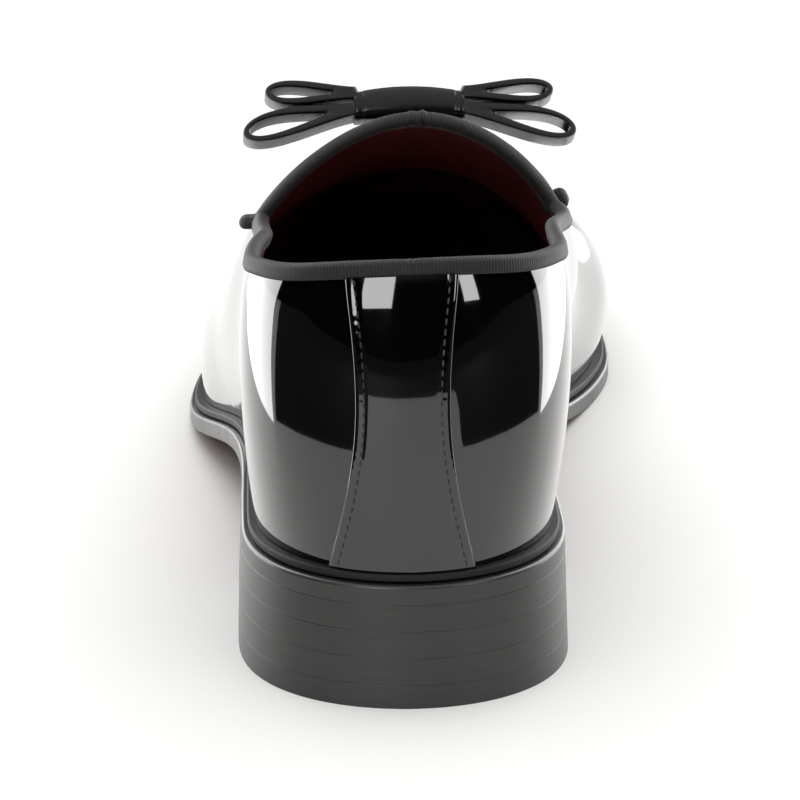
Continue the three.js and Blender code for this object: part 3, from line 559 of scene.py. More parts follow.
lift_top = HEEL_HEIGHT - SEAT_GAP
lift_levels = TIP_THICKNESS + (lift_top - TIP_THICKNESS) * np.arange(LIFT_COUNT + 1) / LIFT_COUNT
for number in range(LIFT_COUNT):
    body = layer_body(0, HEEL_LENGTH, lift_levels[number], lift_levels[number + 1], BREAST_DEPTH)
    make_piece(
        f"lift_{number + 1}", *body, stack_leather, "black_edge", [f"heel_lift_{number + 1}"], sharp=0.9)
tip_body = layer_body(RUBBER_LENGTH + JOINT_GAP, HEEL_LENGTH, 0, TIP_THICKNESS, BREAST_DEPTH)
make_piece("tip_front", *tip_body, stack_leather, "black_edge", ["heel_tip_leather"], sharp=0.9)
rubber_points, rubber_faces = layer_body(0, RUBBER_LENGTH, 0, TIP_THICKNESS, 0)
make_piece(
    "tip_rubber", rubber_points, rubber_faces, heel_rubber, "heel_rubber", ["heel_tip_rubber"], sharp=0.9,
    fields={"tread": rubber_points[:, 2] < LAYER_ROUND / 5})


# Insole
# A footbed of burgundy leather over the board, cut to lie inside the upper.
UPPER_WALL = 2.0
FOREPART_EDGE = 3.4
HEEL_EDGE = 2.6
HEEL_LEAN = 7.0
INSTEP_HEIGHT = 91.0
TOE_BOX_HEIGHT = 38.0
COLLAR_HEIGHT = 93.5
INSOLE_THICKNESS = 3.0
BED_TURNS = 160
BED_COLUMNS = 40
TOE_BOX_ROUND = TOE_BOX_HEIGHT * 0.68
TOE_BOX_SQUARENESS = 2.0
WAIST_BACK = 0.2
WAIST_FRONT = 0.5
FEATHER_LIFT = WELT_LIFT + WELT_THICKNESS + JOINT_GAP
TIP_STATION = SOLE_LENGTH - FOREPART_EDGE

# Ridge of the last in instep heights and toe box heights, its lean to the
# medial side in ball widths, the belly of the wall and how square it is
LAST_SECTIONS = np.array([
    [0.000, 1.400, 0.000, 0.000, 0.120, 4.0],
    [0.132, 1.350, 0.000, 0.010, 0.125, 4.0],
    [0.230, 1.235, 0.000, 0.034, 0.150, 3.7],
    [0.310, 1.100, 0.000, 0.075, 0.225, 3.6],
    [0.368, 1.010, 0.000, 0.090, 0.260, 3.9],
    [0.415, 0.942, 0.000, 0.078, 0.225, 3.7],
    [0.470, 0.842, 0.000, 0.070, 0.175, 2.9],
    [0.526, 0.620, 0.330, 0.058, 0.135, 2.35],
    [0.592, 0.340, 0.800, 0.046, 0.105, 2.3],
    [0.658, 0.130, 1.150, 0.042, 0.075, 2.3],
    [0.724, 0.030, 1.260, 0.036, 0.055, 2.3],
    [0.789, 0.000, 1.210, 0.028, 0.045, 2.35],
    [0.855, 0.000, 1.110, 0.014, 0.050, 2.45],
    [0.921, 0.000, 1.010, 0.003, 0.050, 2.55],
    [1.000, 0.000, 0.920, 0.000, 0.050, 2.6],
]).T

# Back of the heel: share of the collar's height, and way forward in leans
BACK_CURVE = np.array([
    [0.00, 0.38], [0.20, 0.22], [0.40, 0.18], [0.60, 0.32], [0.80, 0.62], [1.00, 1.00], [1.40, 2.00]]).T

last_columns = [curve_through(LAST_SECTIONS[0], column) for column in LAST_SECTIONS[1:]]
last_instep, last_toe, last_lean, last_belly, last_square = last_columns
back_forward = curve_through(*BACK_CURVE)


def feather_height(y):
    return ground_height(y) + FEATHER_LIFT


def heel_back(z):
    up = (z - HEEL_HEIGHT - FEATHER_LIFT) / (COLLAR_HEIGHT - HEEL_HEIGHT - FEATHER_LIFT)
    return back_forward(up) * HEEL_LEAN


def ridge_height(y):
    """Height of the last's ridge, rounded down at the toe like an ellipse."""
    along = y / SOLE_LENGTH
    open_height = last_instep(along) * INSTEP_HEIGHT + last_toe(along) * TOE_BOX_HEIGHT
    feather = feather_height(y)
    nose = rounded_end((TIP_STATION - y) / TOE_BOX_ROUND, TOE_BOX_SQUARENESS)
    return feather + (open_height - feather) * np.sqrt(np.maximum(1e-9, nose))


def last_section(y, z):
    """Centre and squared half width of the last at a station and a height:
    the sole's width less the edge, bellied by a parabola over its height,
    closed by the rounded ends and by a crown that is a power of the height."""
    along = y / SOLE_LENGTH
    feather = feather_height(y)
    up = np.maximum(0, (z - feather) / (ridge_height(y) - feather))
    ends = np.minimum(
        rounded_end((y - heel_back(z)) / HEEL_ROUND, HEEL_SQUARENESS),
        rounded_end((TIP_STATION - y) / TOE_ROUND, TOE_SQUARENESS))
    inset = HEEL_EDGE + (FOREPART_EDGE - HEEL_EDGE) * smoothstep(along, WAIST_BACK, WAIST_FRONT)
    belly = 1 + 4 * last_belly(along) * up * (1 - up)
    crown = 1 - up ** last_square(along)
    open_half = (open_half_width(y) - inset) * belly
    centre = centre_line(y) + last_lean(along) * BALL_WIDTH * (1 - (1 - up) ** 2)
    closed = (ends <= 0) | (crown <= 0)
    return centre, np.where(closed, np.minimum(ends, crown), open_half ** 2 * ends * crown)


def feather_point(turn):
    """Point on the feather line, by the same turn as the sole's edge."""
    start = heel_back(HEEL_HEIGHT + FEATHER_LIFT)
    y = start + (TIP_STATION - start) * (1 - np.cos(turn)) / 2
    side = np.where(np.sin(turn) < 0, -1.0, 1.0)
    half = np.sqrt(np.maximum(0, last_section(y, feather_height(y))[1]))
    return np.stack([centre_line(y) + side * half, y, feather_height(y)], -1)


def feather_inset(turn, inset):
    """Point on the feather line, moved in square to it by an inset."""
    along = (feather_point(turn + 0.01) - feather_point(turn - 0.01))[..., :2]
    return feather_point(turn)[..., :2] + square_step(along, inset)


# Lining leather: burgundy kip, drum dyed, with a soft close grain.
lining_leather = plain_leather("burgundy_lining_leather", 14, "6a3034", "864448", 1.1, 0.52, 1.45)

bed_profile = edge_profile(FEATHER_LIFT, FEATHER_LIFT + INSOLE_THICKNESS, 0.6, 0.6, 4)
bed_clearance = UPPER_WALL + JOINT_GAP * 2
bed_points = station_body(
    np.linspace(0, np.pi, BED_TURNS + 1), lambda turn, inset: feather_inset(turn, bed_clearance + inset),
    bed_profile, BED_COLUMNS, BED_COLUMNS)
bed_faces = [grid_faces(*bed_points.shape[:2], columns_closed=True)]
make_piece("footbed", bed_points, bed_faces, lining_leather, "lining_leather", ["insole"], merge=True)


# Upper
# Vamp and quarters of black patent leather, wet pulled over the last and
# lasted under it, open at the collar, with a burgundy lining inside.
THROAT_STATION = 118.0
SIDE_HEIGHT = 69.6
COLLAR_TILT = 1.0
TONGUE_REACH = 6.0
COLLAR_BINDING_HEIGHT = 3.0
TONGUE_BINDING_HEIGHT = 4.6
PATENT_THICKNESS = 1.2
COLLAR_COLUMNS = 104
VAMP_COLUMNS = 124
RIB_ROWS = 72
RIB_CROWDING = 1.4
VAMP_CROWDING = 1.7
HEEL_ENTRY = 0.38
THROAT_ENTRY = 0.8
TOE_ENTRY = 0.7
CORE_SHARE = 0.75
HEEL_CORE = 1.0
FOREPART_CORE = 3.0
HALVINGS = 26
RAY_STEPS = 130
FINE_STEPS = 140
EDGE_ROLL = 0.5
EDGE_ROLL_REACH = 6.5
LINING_GAP = 0.05

# Topline of the quarters: place from heel to throat, and share of the drop
TOPLINE_DROP = np.array([
    [-0.10, -0.05], [0.05, 0.04], [0.12, 0.145], [0.21, 0.235], [0.34, 0.355], [0.51, 0.505], [0.68, 0.69],
    [0.85, 0.90], [1.00, 1.00], [1.15, 0.99]]).T
topline_drop = curve_through(*TOPLINE_DROP)


def inside_last(points):
    centre, half_squared = last_section(points[..., 1], points[..., 2])
    return (points[..., 0] - centre) ** 2 < half_squared


def topline_height(x, y):
    """Collar height less the drop, tilted up on the medial side."""
    tilt = COLLAR_TILT * (x - centre_line(y)) / (HEEL_WIDTH / 2)
    return COLLAR_HEIGHT + tilt - (COLLAR_HEIGHT - SIDE_HEIGHT) * topline_drop(y / THROAT_STATION)


throat_centre, throat_square = last_section(np.array(THROAT_STATION), np.array(SIDE_HEIGHT))


def past_rim(points):
    """True over the bare edge: above the topline and behind the tongue's
    edge, which is a parabola across the instep, both less their bindings."""
    across = (points[..., 0] - throat_centre) / np.sqrt(throat_square)
    tongue = THROAT_STATION - TONGUE_REACH * np.maximum(0, 1 - across ** 2)
    over = points[..., 2] > topline_height(points[..., 0], points[..., 1]) - COLLAR_BINDING_HEIGHT
    return over & (points[..., 1] < tongue + TONGUE_BINDING_HEIGHT)


def entry_point(y):
    """Point on the middle line that a rib runs towards, seen from above."""
    quarter = np.clip(y / THROAT_STATION, 0, 1)
    vamp = np.maximum(0, (y - THROAT_STATION) / (SOLE_LENGTH - THROAT_STATION))
    share = HEEL_ENTRY + (THROAT_ENTRY - HEEL_ENTRY) * quarter + (TOE_ENTRY - THROAT_ENTRY) * vamp
    return np.stack([np.zeros_like(y), THROAT_STATION * share], -1)


def halve_span(passes, low, high):
    """Ends of a span that is halved many times, each time to the half whose
    low end passes a test and whose high end fails it."""
    for _ in range(HALVINGS):
        middle = (low + high) / 2
        good = passes(middle)
        low, high = np.where(good, middle, low), np.where(good, high, middle)
    return low, high


def rib_sweep(turns):
    """For each turn, a function from a ray's angle about the rib's core to
    the point where it leaves the last, found by halving its length."""
    foot = feather_point(turns)
    entry = entry_point(foot[:, 1])
    flat = foot[:, :2] - entry
    reach = np.linalg.norm(flat, axis=1)
    flat /= reach[:, None]
    spare = reach - HEEL_ROUND * 2
    core_reach = np.where(spare > 0, CORE_SHARE * spare, 0)
    core_height = foot[:, 2] + np.where(spare > 0, FOREPART_CORE, HEEL_CORE)

    def surface_at(angles):
        def place(distance):
            r = core_reach[:, None] + np.cos(angles) * distance
            z = core_height[:, None] + np.sin(angles) * distance
            flat_place = entry[:, None, :] + flat[:, None, :] * r[..., None]
            return np.concatenate([flat_place, z[..., None]], -1)

        span = np.zeros_like(angles), np.full_like(angles, SOLE_LENGTH)
        return place(halve_span(lambda distance: inside_last(place(distance)), *span)[0])

    start = np.arctan2(foot[:, 2] - core_height, reach - core_reach)
    return foot, start, surface_at


def rib_rows(turns):
    """Points of each rib from the feather to the bare edge, spaced along its
    length by a power that crowds them towards the feather."""
    foot, start, surface_at = rib_sweep(turns)
    step = 0.02
    angles = start[:, None] + step * (np.arange(RAY_STEPS) + 0.5)
    over = past_rim(surface_at(angles))
    rim = np.take_along_axis(angles, np.argmax(over, 1)[:, None], 1)
    end = halve_span(lambda angle: ~past_rim(surface_at(angle)), rim - step, rim)[1]
    fine_angles = start[:, None] + (end - start[:, None]) * np.linspace(0, 1, FINE_STEPS)
    fine = surface_at(fine_angles)
    fine[:, 0] = foot
    travelled = np.cumsum(np.linalg.norm(np.diff(fine, axis=1), axis=2), axis=1)
    travelled = np.concatenate([np.zeros((len(turns), 1)), travelled], 1)
    goals = np.linspace(0, 1, RIB_ROWS + 1) ** RIB_CROWDING
    chosen = np.stack([np.interp(goals * t[-1], t, a) for t, a in zip(travelled, fine_angles)])
    points = surface_at(chosen)
    points[:, 0] = foot
    return points


def turn_to_station(side, station, height):
    """Turn of the rib that passes a station at a height, by halving."""
    low, high = 0.2, 2.0
    for _ in range(30):
        turn = (low + high) / 2
        foot = feather_point(np.array([side * turn]))
        entry = entry_point(foot[:, 1])
        flat = foot[:, :2] - entry
        flat /= np.linalg.norm(flat)
        near, far = 0.0, HEEL_WIDTH
        for _ in range(30):
            middle = (near + far) / 2
            spot = np.append(entry + flat * middle, height)
            near, far = (middle, far) if inside_last(spot) else (near, middle)
        low, high = (turn, high) if entry[0, 1] + flat[0, 1] * near < station else (low, turn)
    return low


def column_turns():
    """Turns of the columns, with a narrow break at each side of the throat."""
    sides = []
    for side in (1, -1):
        height = SIDE_HEIGHT - COLLAR_BINDING_HEIGHT
        before = turn_to_station(side, THROAT_STATION - JOINT_GAP * 2, height)
        after = turn_to_station(side, THROAT_STATION + TONGUE_BINDING_HEIGHT, height)
        vamp = after + (np.pi - after) * np.linspace(0, 1, VAMP_COLUMNS + 1) ** VAMP_CROWDING
        sides.append(np.concatenate([np.linspace(0, before, COLLAR_COLUMNS + 1), vamp]))
    medial, lateral = sides
    return np.concatenate([medial, 2 * np.pi - lateral[1:-1][::-1]])


def last_normal(points):
    """Outward normal: the slope of squared offset less squared half width."""
    step = 0.05
    centre = last_section(points[..., 1], points[..., 2])[0]
    near = points.copy()
    near[..., 0] = centre + (points[..., 0] - centre) * 0.999
    slopes = []
    for axis in range(3):
        move = np.zeros(3)
        move[axis] = step
        sides = []
        for spot in (near + move, near - move):
            middle, half_squared = last_section(spot[..., 1], spot[..., 2])
            sides.append((spot[..., 0] - middle) ** 2 - half_squared)
        slopes.append(sides[0] - sides[1])
    return unit(np.stack(slopes, -1))


turns = column_turns()
ribs = rib_rows(turns)
rib_normals = last_normal(ribs)
feather_along = feather_point(turns + 0.01) - feather_point(turns - 0.01)
level = np.stack([feather_along[:, 1], -feather_along[:, 0], np.zeros(len(turns))], -1)
rib_normals[:, 0] = unit(level)

# Patent leather: black lacquer poured over calf, a wet mirror with a very
# slight swim in it where the hide pulls over the last.
patent = new_material("black_patent_leather")
patent_spot = add_node(patent, "TexCoord").outputs["Object"]
swim = add_node(patent, "TexNoise", {"Vector": patent_spot, "Scale": 1000 / 26, "Detail": 1.5})
pull = add_node(patent, "TexNoise", {"Vector": patent_spot, "Scale": 1000 / 7, "Detail": 2.0})
swim_bump = add_node(patent, "Bump", {"Height": swim.outputs["Fac"], "Distance": 0.12 / 1000})
pull_bump = add_node(patent, "Bump", {
    "Height": pull.outputs["Fac"], "Distance": 0.02 / 1000, "Normal": swim_bump.outputs["Normal"]})
patent_shader = add_node(patent, "BsdfPrincipled", {
    "Base Color": linear("050505"), "Roughness": 0.06, "IOR": 1.45, "Normal": pull_bump.outputs["Normal"],
    "Coat Weight": 1.0, "Coat Roughness": 0.015, "Coat IOR": 1.5,
    "Coat Normal": swim_bump.outputs["Normal"]})
add_node(patent, "OutputMaterial", {"Surface": patent_shader.outputs["BSDF"]})


def rim_roll(distance):
    """Way in of the surface under the binding, which draws the leather's
    edge inwards: the square of the share of the reach that is left."""
    return EDGE_ROLL * np.clip(1 - distance / EDGE_ROLL_REACH, 0, 1) ** 2


def walled_body(outer, inner):
    """Closed wall: rows up the outer face, then rows down the inner face."""
    rings = np.concatenate([outer.swapaxes(0, 1), inner.swapaxes(0, 1)[::-1]])
    return rings, [grid_faces(*rings.shape[:2], True, True)]


lining_face = PATENT_THICKNESS + LINING_GAP
from_rim = np.linalg.norm(ribs - ribs[:, -1:], axis=2)
patent_face = ribs - rib_normals * rim_roll(from_rim)[..., None]
vamp_body = walled_body(patent_face, ribs - rib_normals * PATENT_THICKNESS)
lining_body = walled_body(ribs - rib_normals * lining_face, ribs - rib_normals * UPPER_WALL)
make_piece("vamp_and_quarters", *vamp_body, patent, "patent", ["upper"])
make_piece("quarter_lining", *lining_body, lining_leather, "lining_leather", ["upper"])


# Bindings
# Grosgrain ribbon folded over the raw edge and sewn through: a narrow one
# round the collar, a wider one over the tongue with its ends lapped out.
BINDING_THICKNESS = 3.4
BINDING_LEG = 0.9
RIBBON_SLACK = 0.12
CROWN_SHARE = 0.85
TAIL_BEND = 2.0
TAIL_TURN = np.radians(55)
TAIL_REACH = 2.2
TAIL_ROUND = 1.2
TAIL_TAPER = 0.78
GROSGRAIN_PITCH = 0.68
GROSGRAIN_RELIEF = 0.07
RINGS_PER_RIB = 5

# Grosgrain: black rayon warp over thick weft cords, so fine ribs run across
# the ribbon. It is matte, with a painted grey highlight on the crown of each
# rib and painted shade in the troughs between.
grosgrain = new_material("black_grosgrain_ribbon")
ribbon_spot = add_node(grosgrain, "TexCoord").outputs["Object"]
threads = add_node(grosgrain, "TexNoise", {"Vector": ribbon_spot, "Scale": 1000 / 0.35, "Detail": 3.0})
thread_colour = add_node(grosgrain, "Mix", {
    "Factor": threads.outputs["Fac"], "A": linear("151415"), "B": linear("2a282a")}, data_type="RGBA")
# Painted light: each rib's crown is lit grey and its trough is painted near black as shade.
rib_light_and_shade = add_node(grosgrain, "Mix", {
    "Factor": add_node(grosgrain, "Attribute", attribute_name="rib_crown_light").outputs["Fac"],
    "A": linear("0b0a0b"), "B": thread_colour.outputs["Result"]}, data_type="RGBA")
thread_bump = add_node(grosgrain, "Bump", {"Height": threads.outputs["Fac"], "Distance": 0.06 / 1000})
ribbon_shader = add_node(grosgrain, "BsdfPrincipled", {
    "Base Color": rib_light_and_shade.outputs["Result"], "Roughness": 0.66, "IOR": 1.42, "Sheen Weight": 0.2,
    "Sheen Roughness": 0.4, "Normal": thread_bump.outputs["Normal"]})
add_node(grosgrain, "OutputMaterial", {"Surface": ribbon_shader.outputs["BSDF"]})

half_wall = UPPER_WALL / 2


def band_section(height):
    """Section of a folded ribbon as rise and reach out from the wall's
    middle: a round crown, two legs down over the faces, and the channel."""
    turn = np.linspace(0, np.pi, 15)
    out = BINDING_THICKNESS / 2 - RIBBON_SLACK
    crown_foot = height - JOINT_GAP - out * CROWN_SHARE
    top = np.stack([crown_foot + np.sin(turn) * out * CROWN_SHARE, np.cos(turn) * out], -1)
    leg = np.linspace(-BINDING_LEG, crown_foot, 5)[:-1]
    outer = np.stack([leg, np.full(4, out)], -1)
    outer[0, 1] = half_wall + 0.3
    inner = (outer * [1, -1])[::-1]
    channel = half_wall + 0.04
    roof = -0.1
    hollow = np.array([
        [-BINDING_LEG, -channel], [roof, -channel], [roof, channel], [-BINDING_LEG, channel]])
    return np.concatenate([outer, top, inner, hollow])


def band_rings(columns, height):
    """Sections square to the bare edge, one at each of its columns."""
    rim, normal = ribs[columns, -1], rib_normals[columns, -1]
    along = np.gradient(rim, axis=0)
    up = unit(np.cross(normal, along))
    foot = rim - normal * half_wall + up * JOINT_GAP
    section = band_section(height)
    return foot[:, None] + up[:, None] * section[None, :, :1] + normal[:, None] * section[None, :, 1:]


def ribbed_band(name, rings, nodes):
    """Band carried through its rings on smooth curves, with a rib every
    pitch: each ring swells about its middle by the cosine of the way."""
    middles = rings.mean(1)
    way = np.concatenate([[0], np.cumsum(np.linalg.norm(np.diff(middles, axis=0), axis=1))])
    count = int(way[-1] / GROSGRAIN_PITCH * RINGS_PER_RIB)
    at = np.linspace(0, way[-1], count)
    size = rings.shape[1]
    dense = curve_through(way, rings.reshape(len(rings), -1))(at).reshape(count, size, 3)
    wave = 0.5 + 0.5 * np.cos(2 * np.pi * at / GROSGRAIN_PITCH)
    away = unit(dense - dense.mean(1, keepdims=True))
    dense = dense - away * (GROSGRAIN_RELIEF * (1 - wave))[:, None, None]
    points = np.concatenate([dense.reshape(-1, 3), [dense[0].mean(0), dense[-1].mean(0)]])
    # Share of painted highlight at each ring: 1 on a rib's crown, 0 in its trough.
    crown_light = np.concatenate([np.repeat(wave, size), [0, 0]])
    make_piece(
        name, points, tube_faces(count, size), grosgrain, "grosgrain", nodes, sharp=1.2,
        fields={"rib_crown_light": crown_light})


collar_columns = np.arange(-COLLAR_COLUMNS, COLLAR_COLUMNS + 1) % len(turns)
ribbed_band("collar_ribbon", band_rings(collar_columns, COLLAR_BINDING_HEIGHT), ["topline_binding"])

tongue_columns = COLLAR_COLUMNS + 1 + np.arange(2 * VAMP_COLUMNS + 1)
tongue_rings = band_rings(tongue_columns, TONGUE_BINDING_HEIGHT)


def tail_rings(ring, before, normal):
    """Copies of the end section, carried round a bend out over the quarter
    and on in a straight line, then drawn in by a quarter turn to a tip."""
    section = ring.copy()
    section[-3:-1] = (ring[-4] + ring[-1]) / 2
    middle = section.mean(0)
    heading = unit((ring - before).mean(0))
    out = unit(normal - heading * (normal @ heading))
    rise = (section - middle) @ np.cross(heading, out)
    reach = (section - middle) @ out
    turn = TAIL_TURN * np.clip(np.arange(1, 10) / 4, 0, 1)[:, None]
    tip = np.radians([0, 0, 0, 0, 0, 0, 35, 60, 78])[:, None]
    straight = TAIL_REACH * np.clip(np.arange(-3, 6) / 2, 0, 1)[:, None] + TAIL_ROUND * np.sin(tip)
    place = TAIL_BEND * (np.sin(turn) * heading + (1 - np.cos(turn)) * out)
    place += straight * (np.cos(TAIL_TURN) * heading + np.sin(TAIL_TURN) * out)
    aside = np.cos(turn) * out - np.sin(turn) * heading
    size = np.linspace(1, TAIL_TAPER, 9)[:, None] * np.cos(tip)
    spread = rise[None, :, None] * np.cross(heading, out) + reach[None, :, None] * aside[:, None]
    return middle + place[:, None] + spread * size[:, :, None]


tail_start = tail_rings(tongue_rings[0], tongue_rings[1], rib_normals[tongue_columns[0], -1])[::-1]
tail_end = tail_rings(tongue_rings[-1], tongue_rings[-2], rib_normals[tongue_columns[-1], -1])
tongue_path = np.concatenate([tail_start, tongue_rings[2:-2:4], tail_end])
ribbed_band("tongue_ribbon", tongue_path, ["tongue_binding"])


# Heel strap
# A waisted strap of the same patent leather over the back seam, skived at
# its edges and held by a row of black stitches down each side.
STRAP_TOP_WIDTH = 22.5
STRAP_MIDDLE_WIDTH = 19.0
STRAP_BOTTOM_WIDTH = 29.0
STRAP_OFFSET = 1.4
STRAP_THICKNESS = 1.0
STITCH_INSET = 1.9
STITCH_PITCH = 2.0
STITCH_LENGTH = 1.45
STITCH_THICKNESS = 0.42
STITCH_DIP = 0.08
STITCH_PUCKER = 0.006
STRAP_SKIVE = 0.9
DIP_WIDTH = 0.55

strap_width = curve_through([0, 0.5, 1], [STRAP_BOTTOM_WIDTH, STRAP_MIDDLE_WIDTH, STRAP_TOP_WIDTH])
strap_foot = float(feather_height(np.array(0.0))) + JOINT_GAP


def heel_surface(x, z):
    """Back of the heel at a place across and a height, by halving."""
    low = heel_back(z)
    y = halve_span(lambda y: ~inside_last(np.stack([x, y, z], -1)), low, low + HEEL_ROUND)[1]
    return np.stack([x, y, z], -1)


def strap_place(share, across):
    """Point and normal under the strap, by the share of its height and the
    distance across from its middle in millimetres."""
    x = centre_line(np.array(0.0)) - STRAP_OFFSET + across + np.zeros_like(share)
    edge = heel_surface(x, np.full(x.shape, COLLAR_HEIGHT - COLLAR_BINDING_HEIGHT))
    top = topline_height(x, edge[..., 1]) - COLLAR_BINDING_HEIGHT - JOINT_GAP
    points = heel_surface(x, strap_foot + (top - strap_foot) * share)
    return points, last_normal(points)


strap_rows, strap_cells = 150, 60
share = np.linspace(0, 1, strap_rows)[:, None] + np.zeros((1, strap_cells))
place = np.sin(np.linspace(-1, 1, strap_cells) * np.pi / 2)[None]
half = strap_width(share) / 2
under, strap_normals = strap_place(share, half * place)
from_edge = half * (1 - np.abs(place))
roll = np.sqrt(1 - np.clip(1 - from_edge / STRAP_SKIVE, 0, 1) ** 2)
dip = STITCH_DIP * np.exp(-((from_edge - STITCH_INSET) / DIP_WIDTH) ** 2)
strap_length = COLLAR_HEIGHT - COLLAR_BINDING_HEIGHT - strap_foot
pucker = STITCH_PUCKER * np.sin(2 * np.pi * share * strap_length / STITCH_PITCH)
drawn_in = rim_roll((1 - share) * strap_length)
strap_lift = JOINT_GAP / 2 + STRAP_THICKNESS * (0.25 + 0.75 * roll) - dip - drawn_in
strap_lift += pucker * np.exp(-(from_edge - 1.2) ** 2)
strap_inner = under - strap_normals * (drawn_in - JOINT_GAP / 4)[..., None]
strap_points = np.concatenate([under + strap_normals * strap_lift[..., None], strap_inner[:, ::-1]], 1)
strap_faces = [grid_faces(strap_rows, 2 * strap_cells, columns_closed=True)]
cell = np.arange(strap_cells - 1)
end_face = np.stack([cell, cell + 1, 2 * strap_cells - 2 - cell, 2 * strap_cells - 1 - cell], -1)
strap_faces += [end_face[:, ::-1], end_face + (strap_rows - 1) * 2 * strap_cells]
make_piece("back_strap", strap_points, strap_faces, patent, "patent", ["heel_strap"])

# Bonded thread: black polyester with a thin glaze that catches the light.
bonded_thread = new_material("black_bonded_thread")
thread_spot = add_node(bonded_thread, "TexCoord").outputs["Object"]
plies = add_node(bonded_thread, "TexNoise", {"Vector": thread_spot, "Scale": 1000 / 0.3, "Detail": 2.0})
ply_colour = add_node(bonded_thread, "Mix", {
    "Factor": plies.outputs["Fac"], "A": linear("161616"), "B": linear("3a3a3a")}, data_type="RGBA")
ply_bump = add_node(bonded_thread, "Bump", {"Height": plies.outputs["Fac"], "Distance": 0.04 / 1000})
ply_shader = add_node(bonded_thread, "BsdfPrincipled", {
    "Base Color": ply_colour.outputs["Result"], "Roughness": 0.35, "IOR": 1.5,
    "Normal": ply_bump.outputs["Normal"]})
add_node(bonded_thread, "OutputMaterial", {"Surface": ply_shader.outputs["BSDF"]})


def stitch_rows(middles, directions, normals):
    """Small rods, one to a stitch, each swelling like a blunt ellipse along
    its length, laid by their middles, directions and normals."""
    along = np.linspace(-1, 1, 9)
    turn = np.linspace(0, 2 * np.pi, 9)[:-1]
    swell = np.sqrt(np.clip(1 - np.abs(along) ** 2.6, 0, 1))[:, None] * STITCH_THICKNESS / 2
    axes = [directions, np.cross(directions, normals), normals]
    lengthwise = np.repeat(along[:, None] * STITCH_LENGTH / 2, len(turn), 1)
    sizes = [lengthwise, swell * np.cos(turn), swell * np.sin(turn)]
    rods = middles[:, None, None]
    for axis, size in zip(axes, sizes):
        rods = rods + axis[:, None, None] * size[None, :, :, None]
    one = grid_faces(len(along), len(turn), columns_closed=True)
    size = len(along) * len(turn)
    faces = (one[None] + size * np.arange(len(middles))[:, None, None]).reshape(-1, 4)
    return rods.reshape(-1, 3), [faces]


stitch_count = int(strap_length / STITCH_PITCH)
stitch_share = (np.arange(stitch_count) + 0.5) / stitch_count
seams = []
for side in (-1, 1):
    across = side * (strap_width(stitch_share) / 2 - STITCH_INSET)
    spots, normals = strap_place(stitch_share, across)
    ways = unit(np.gradient(spots, axis=0))
    seat = JOINT_GAP / 2 + STRAP_THICKNESS - STITCH_DIP + STITCH_THICKNESS * 0.1
    seat = seat - rim_roll((1 - stitch_share) * strap_length)
    seams.append((spots + normals * seat[:, None], ways, normals))
stitches = stitch_rows(*[np.concatenate(parts) for parts in zip(*seams)])
make_piece("strap_stitches", *stitches, bonded_thread, "patent", [], merge=True)


# Bow
# A flat bow of smooth leather: two loops a side, folded from one ribbon,
# and a band drawn round the middle that is sewn down to the instep.
BOW_STATION = 127.0
BOW_SPREAD = 73.0
KNOT_WIDTH = 24.0
KNOT_DEPTH = 12.0
KNOT_HEIGHT = 7.0
KNOT_TAPER = 0.1
KNOT_SAG = 0.12
KNOT_HEM = 0.03
HEM_INSET = 1.7
RIBBON_WIDTH = 11.0
RIBBON_THICKNESS = 1.4
UPPER_LOOP_HEIGHT = 5.2
LOWER_LOOP_HEIGHT = 6.4
LOWER_LOOP_DROOP = 5.1
LOOP_ROOT = 0.3
LOOP_FULLNESS = 1.5
FULLEST_BELLY = 0.698
PINCH_LENGTH = 30.0
ROOT_TUCK = 1.2

# Bow leather: black calf with a plated finish, glossy on its faces and dull
# where the cut edge was inked.
bow_leather = new_material("glazed_bow_calf")
bow_spot = add_node(bow_leather, "TexCoord").outputs["Object"]
cut_edge = add_node(bow_leather, "Attribute", attribute_name="cut_edge")
bow_colour = add_node(bow_leather, "Mix", {
    "Factor": cut_edge.outputs["Fac"], "A": linear("0d0d0e"), "B": linear("060606")}, data_type="RGBA")
bow_gloss = add_node(bow_leather, "MapRange", {
    "Value": cut_edge.outputs["Fac"], "To Min": 0.24, "To Max": 0.5})
calf_grain = add_node(bow_leather, "TexNoise", {"Vector": bow_spot, "Scale": 1000 / 1.6, "Detail": 4.0})
calf_bump = add_node(bow_leather, "Bump", {"Height": calf_grain.outputs["Fac"], "Distance": 0.035 / 1000})
bow_shader = add_node(bow_leather, "BsdfPrincipled", {
    "Base Color": bow_colour.outputs["Result"], "Roughness": bow_gloss.outputs["Result"], "IOR": 1.42,
    "Normal": calf_bump.outputs["Normal"]})
add_node(bow_leather, "OutputMaterial", {"Surface": bow_shader.outputs["BSDF"]})

bow_lean = float(last_lean(np.array(BOW_STATION / SOLE_LENGTH))) * BALL_WIDTH
bow_place = np.array([
    float(centre_line(np.array(BOW_STATION))) + bow_lean, BOW_STATION,
    float(ridge_height(np.array(BOW_STATION))) + JOINT_GAP * 2])
bow_rise = ridge_height(np.array([BOW_STATION - 1, BOW_STATION + 1]))
bow_slope = np.arctan2(bow_rise[1] - bow_rise[0], 2)


def on_instep(points):
    """Turns points from the bow's own axes onto the slope of the instep."""
    x, y, z = np.moveaxis(points, -1, 0)
    sine, cosine = np.sin(bow_slope), np.cos(bow_slope)
    return np.stack([x, y * cosine - z * sine, y * sine + z * cosine], -1) + bow_place


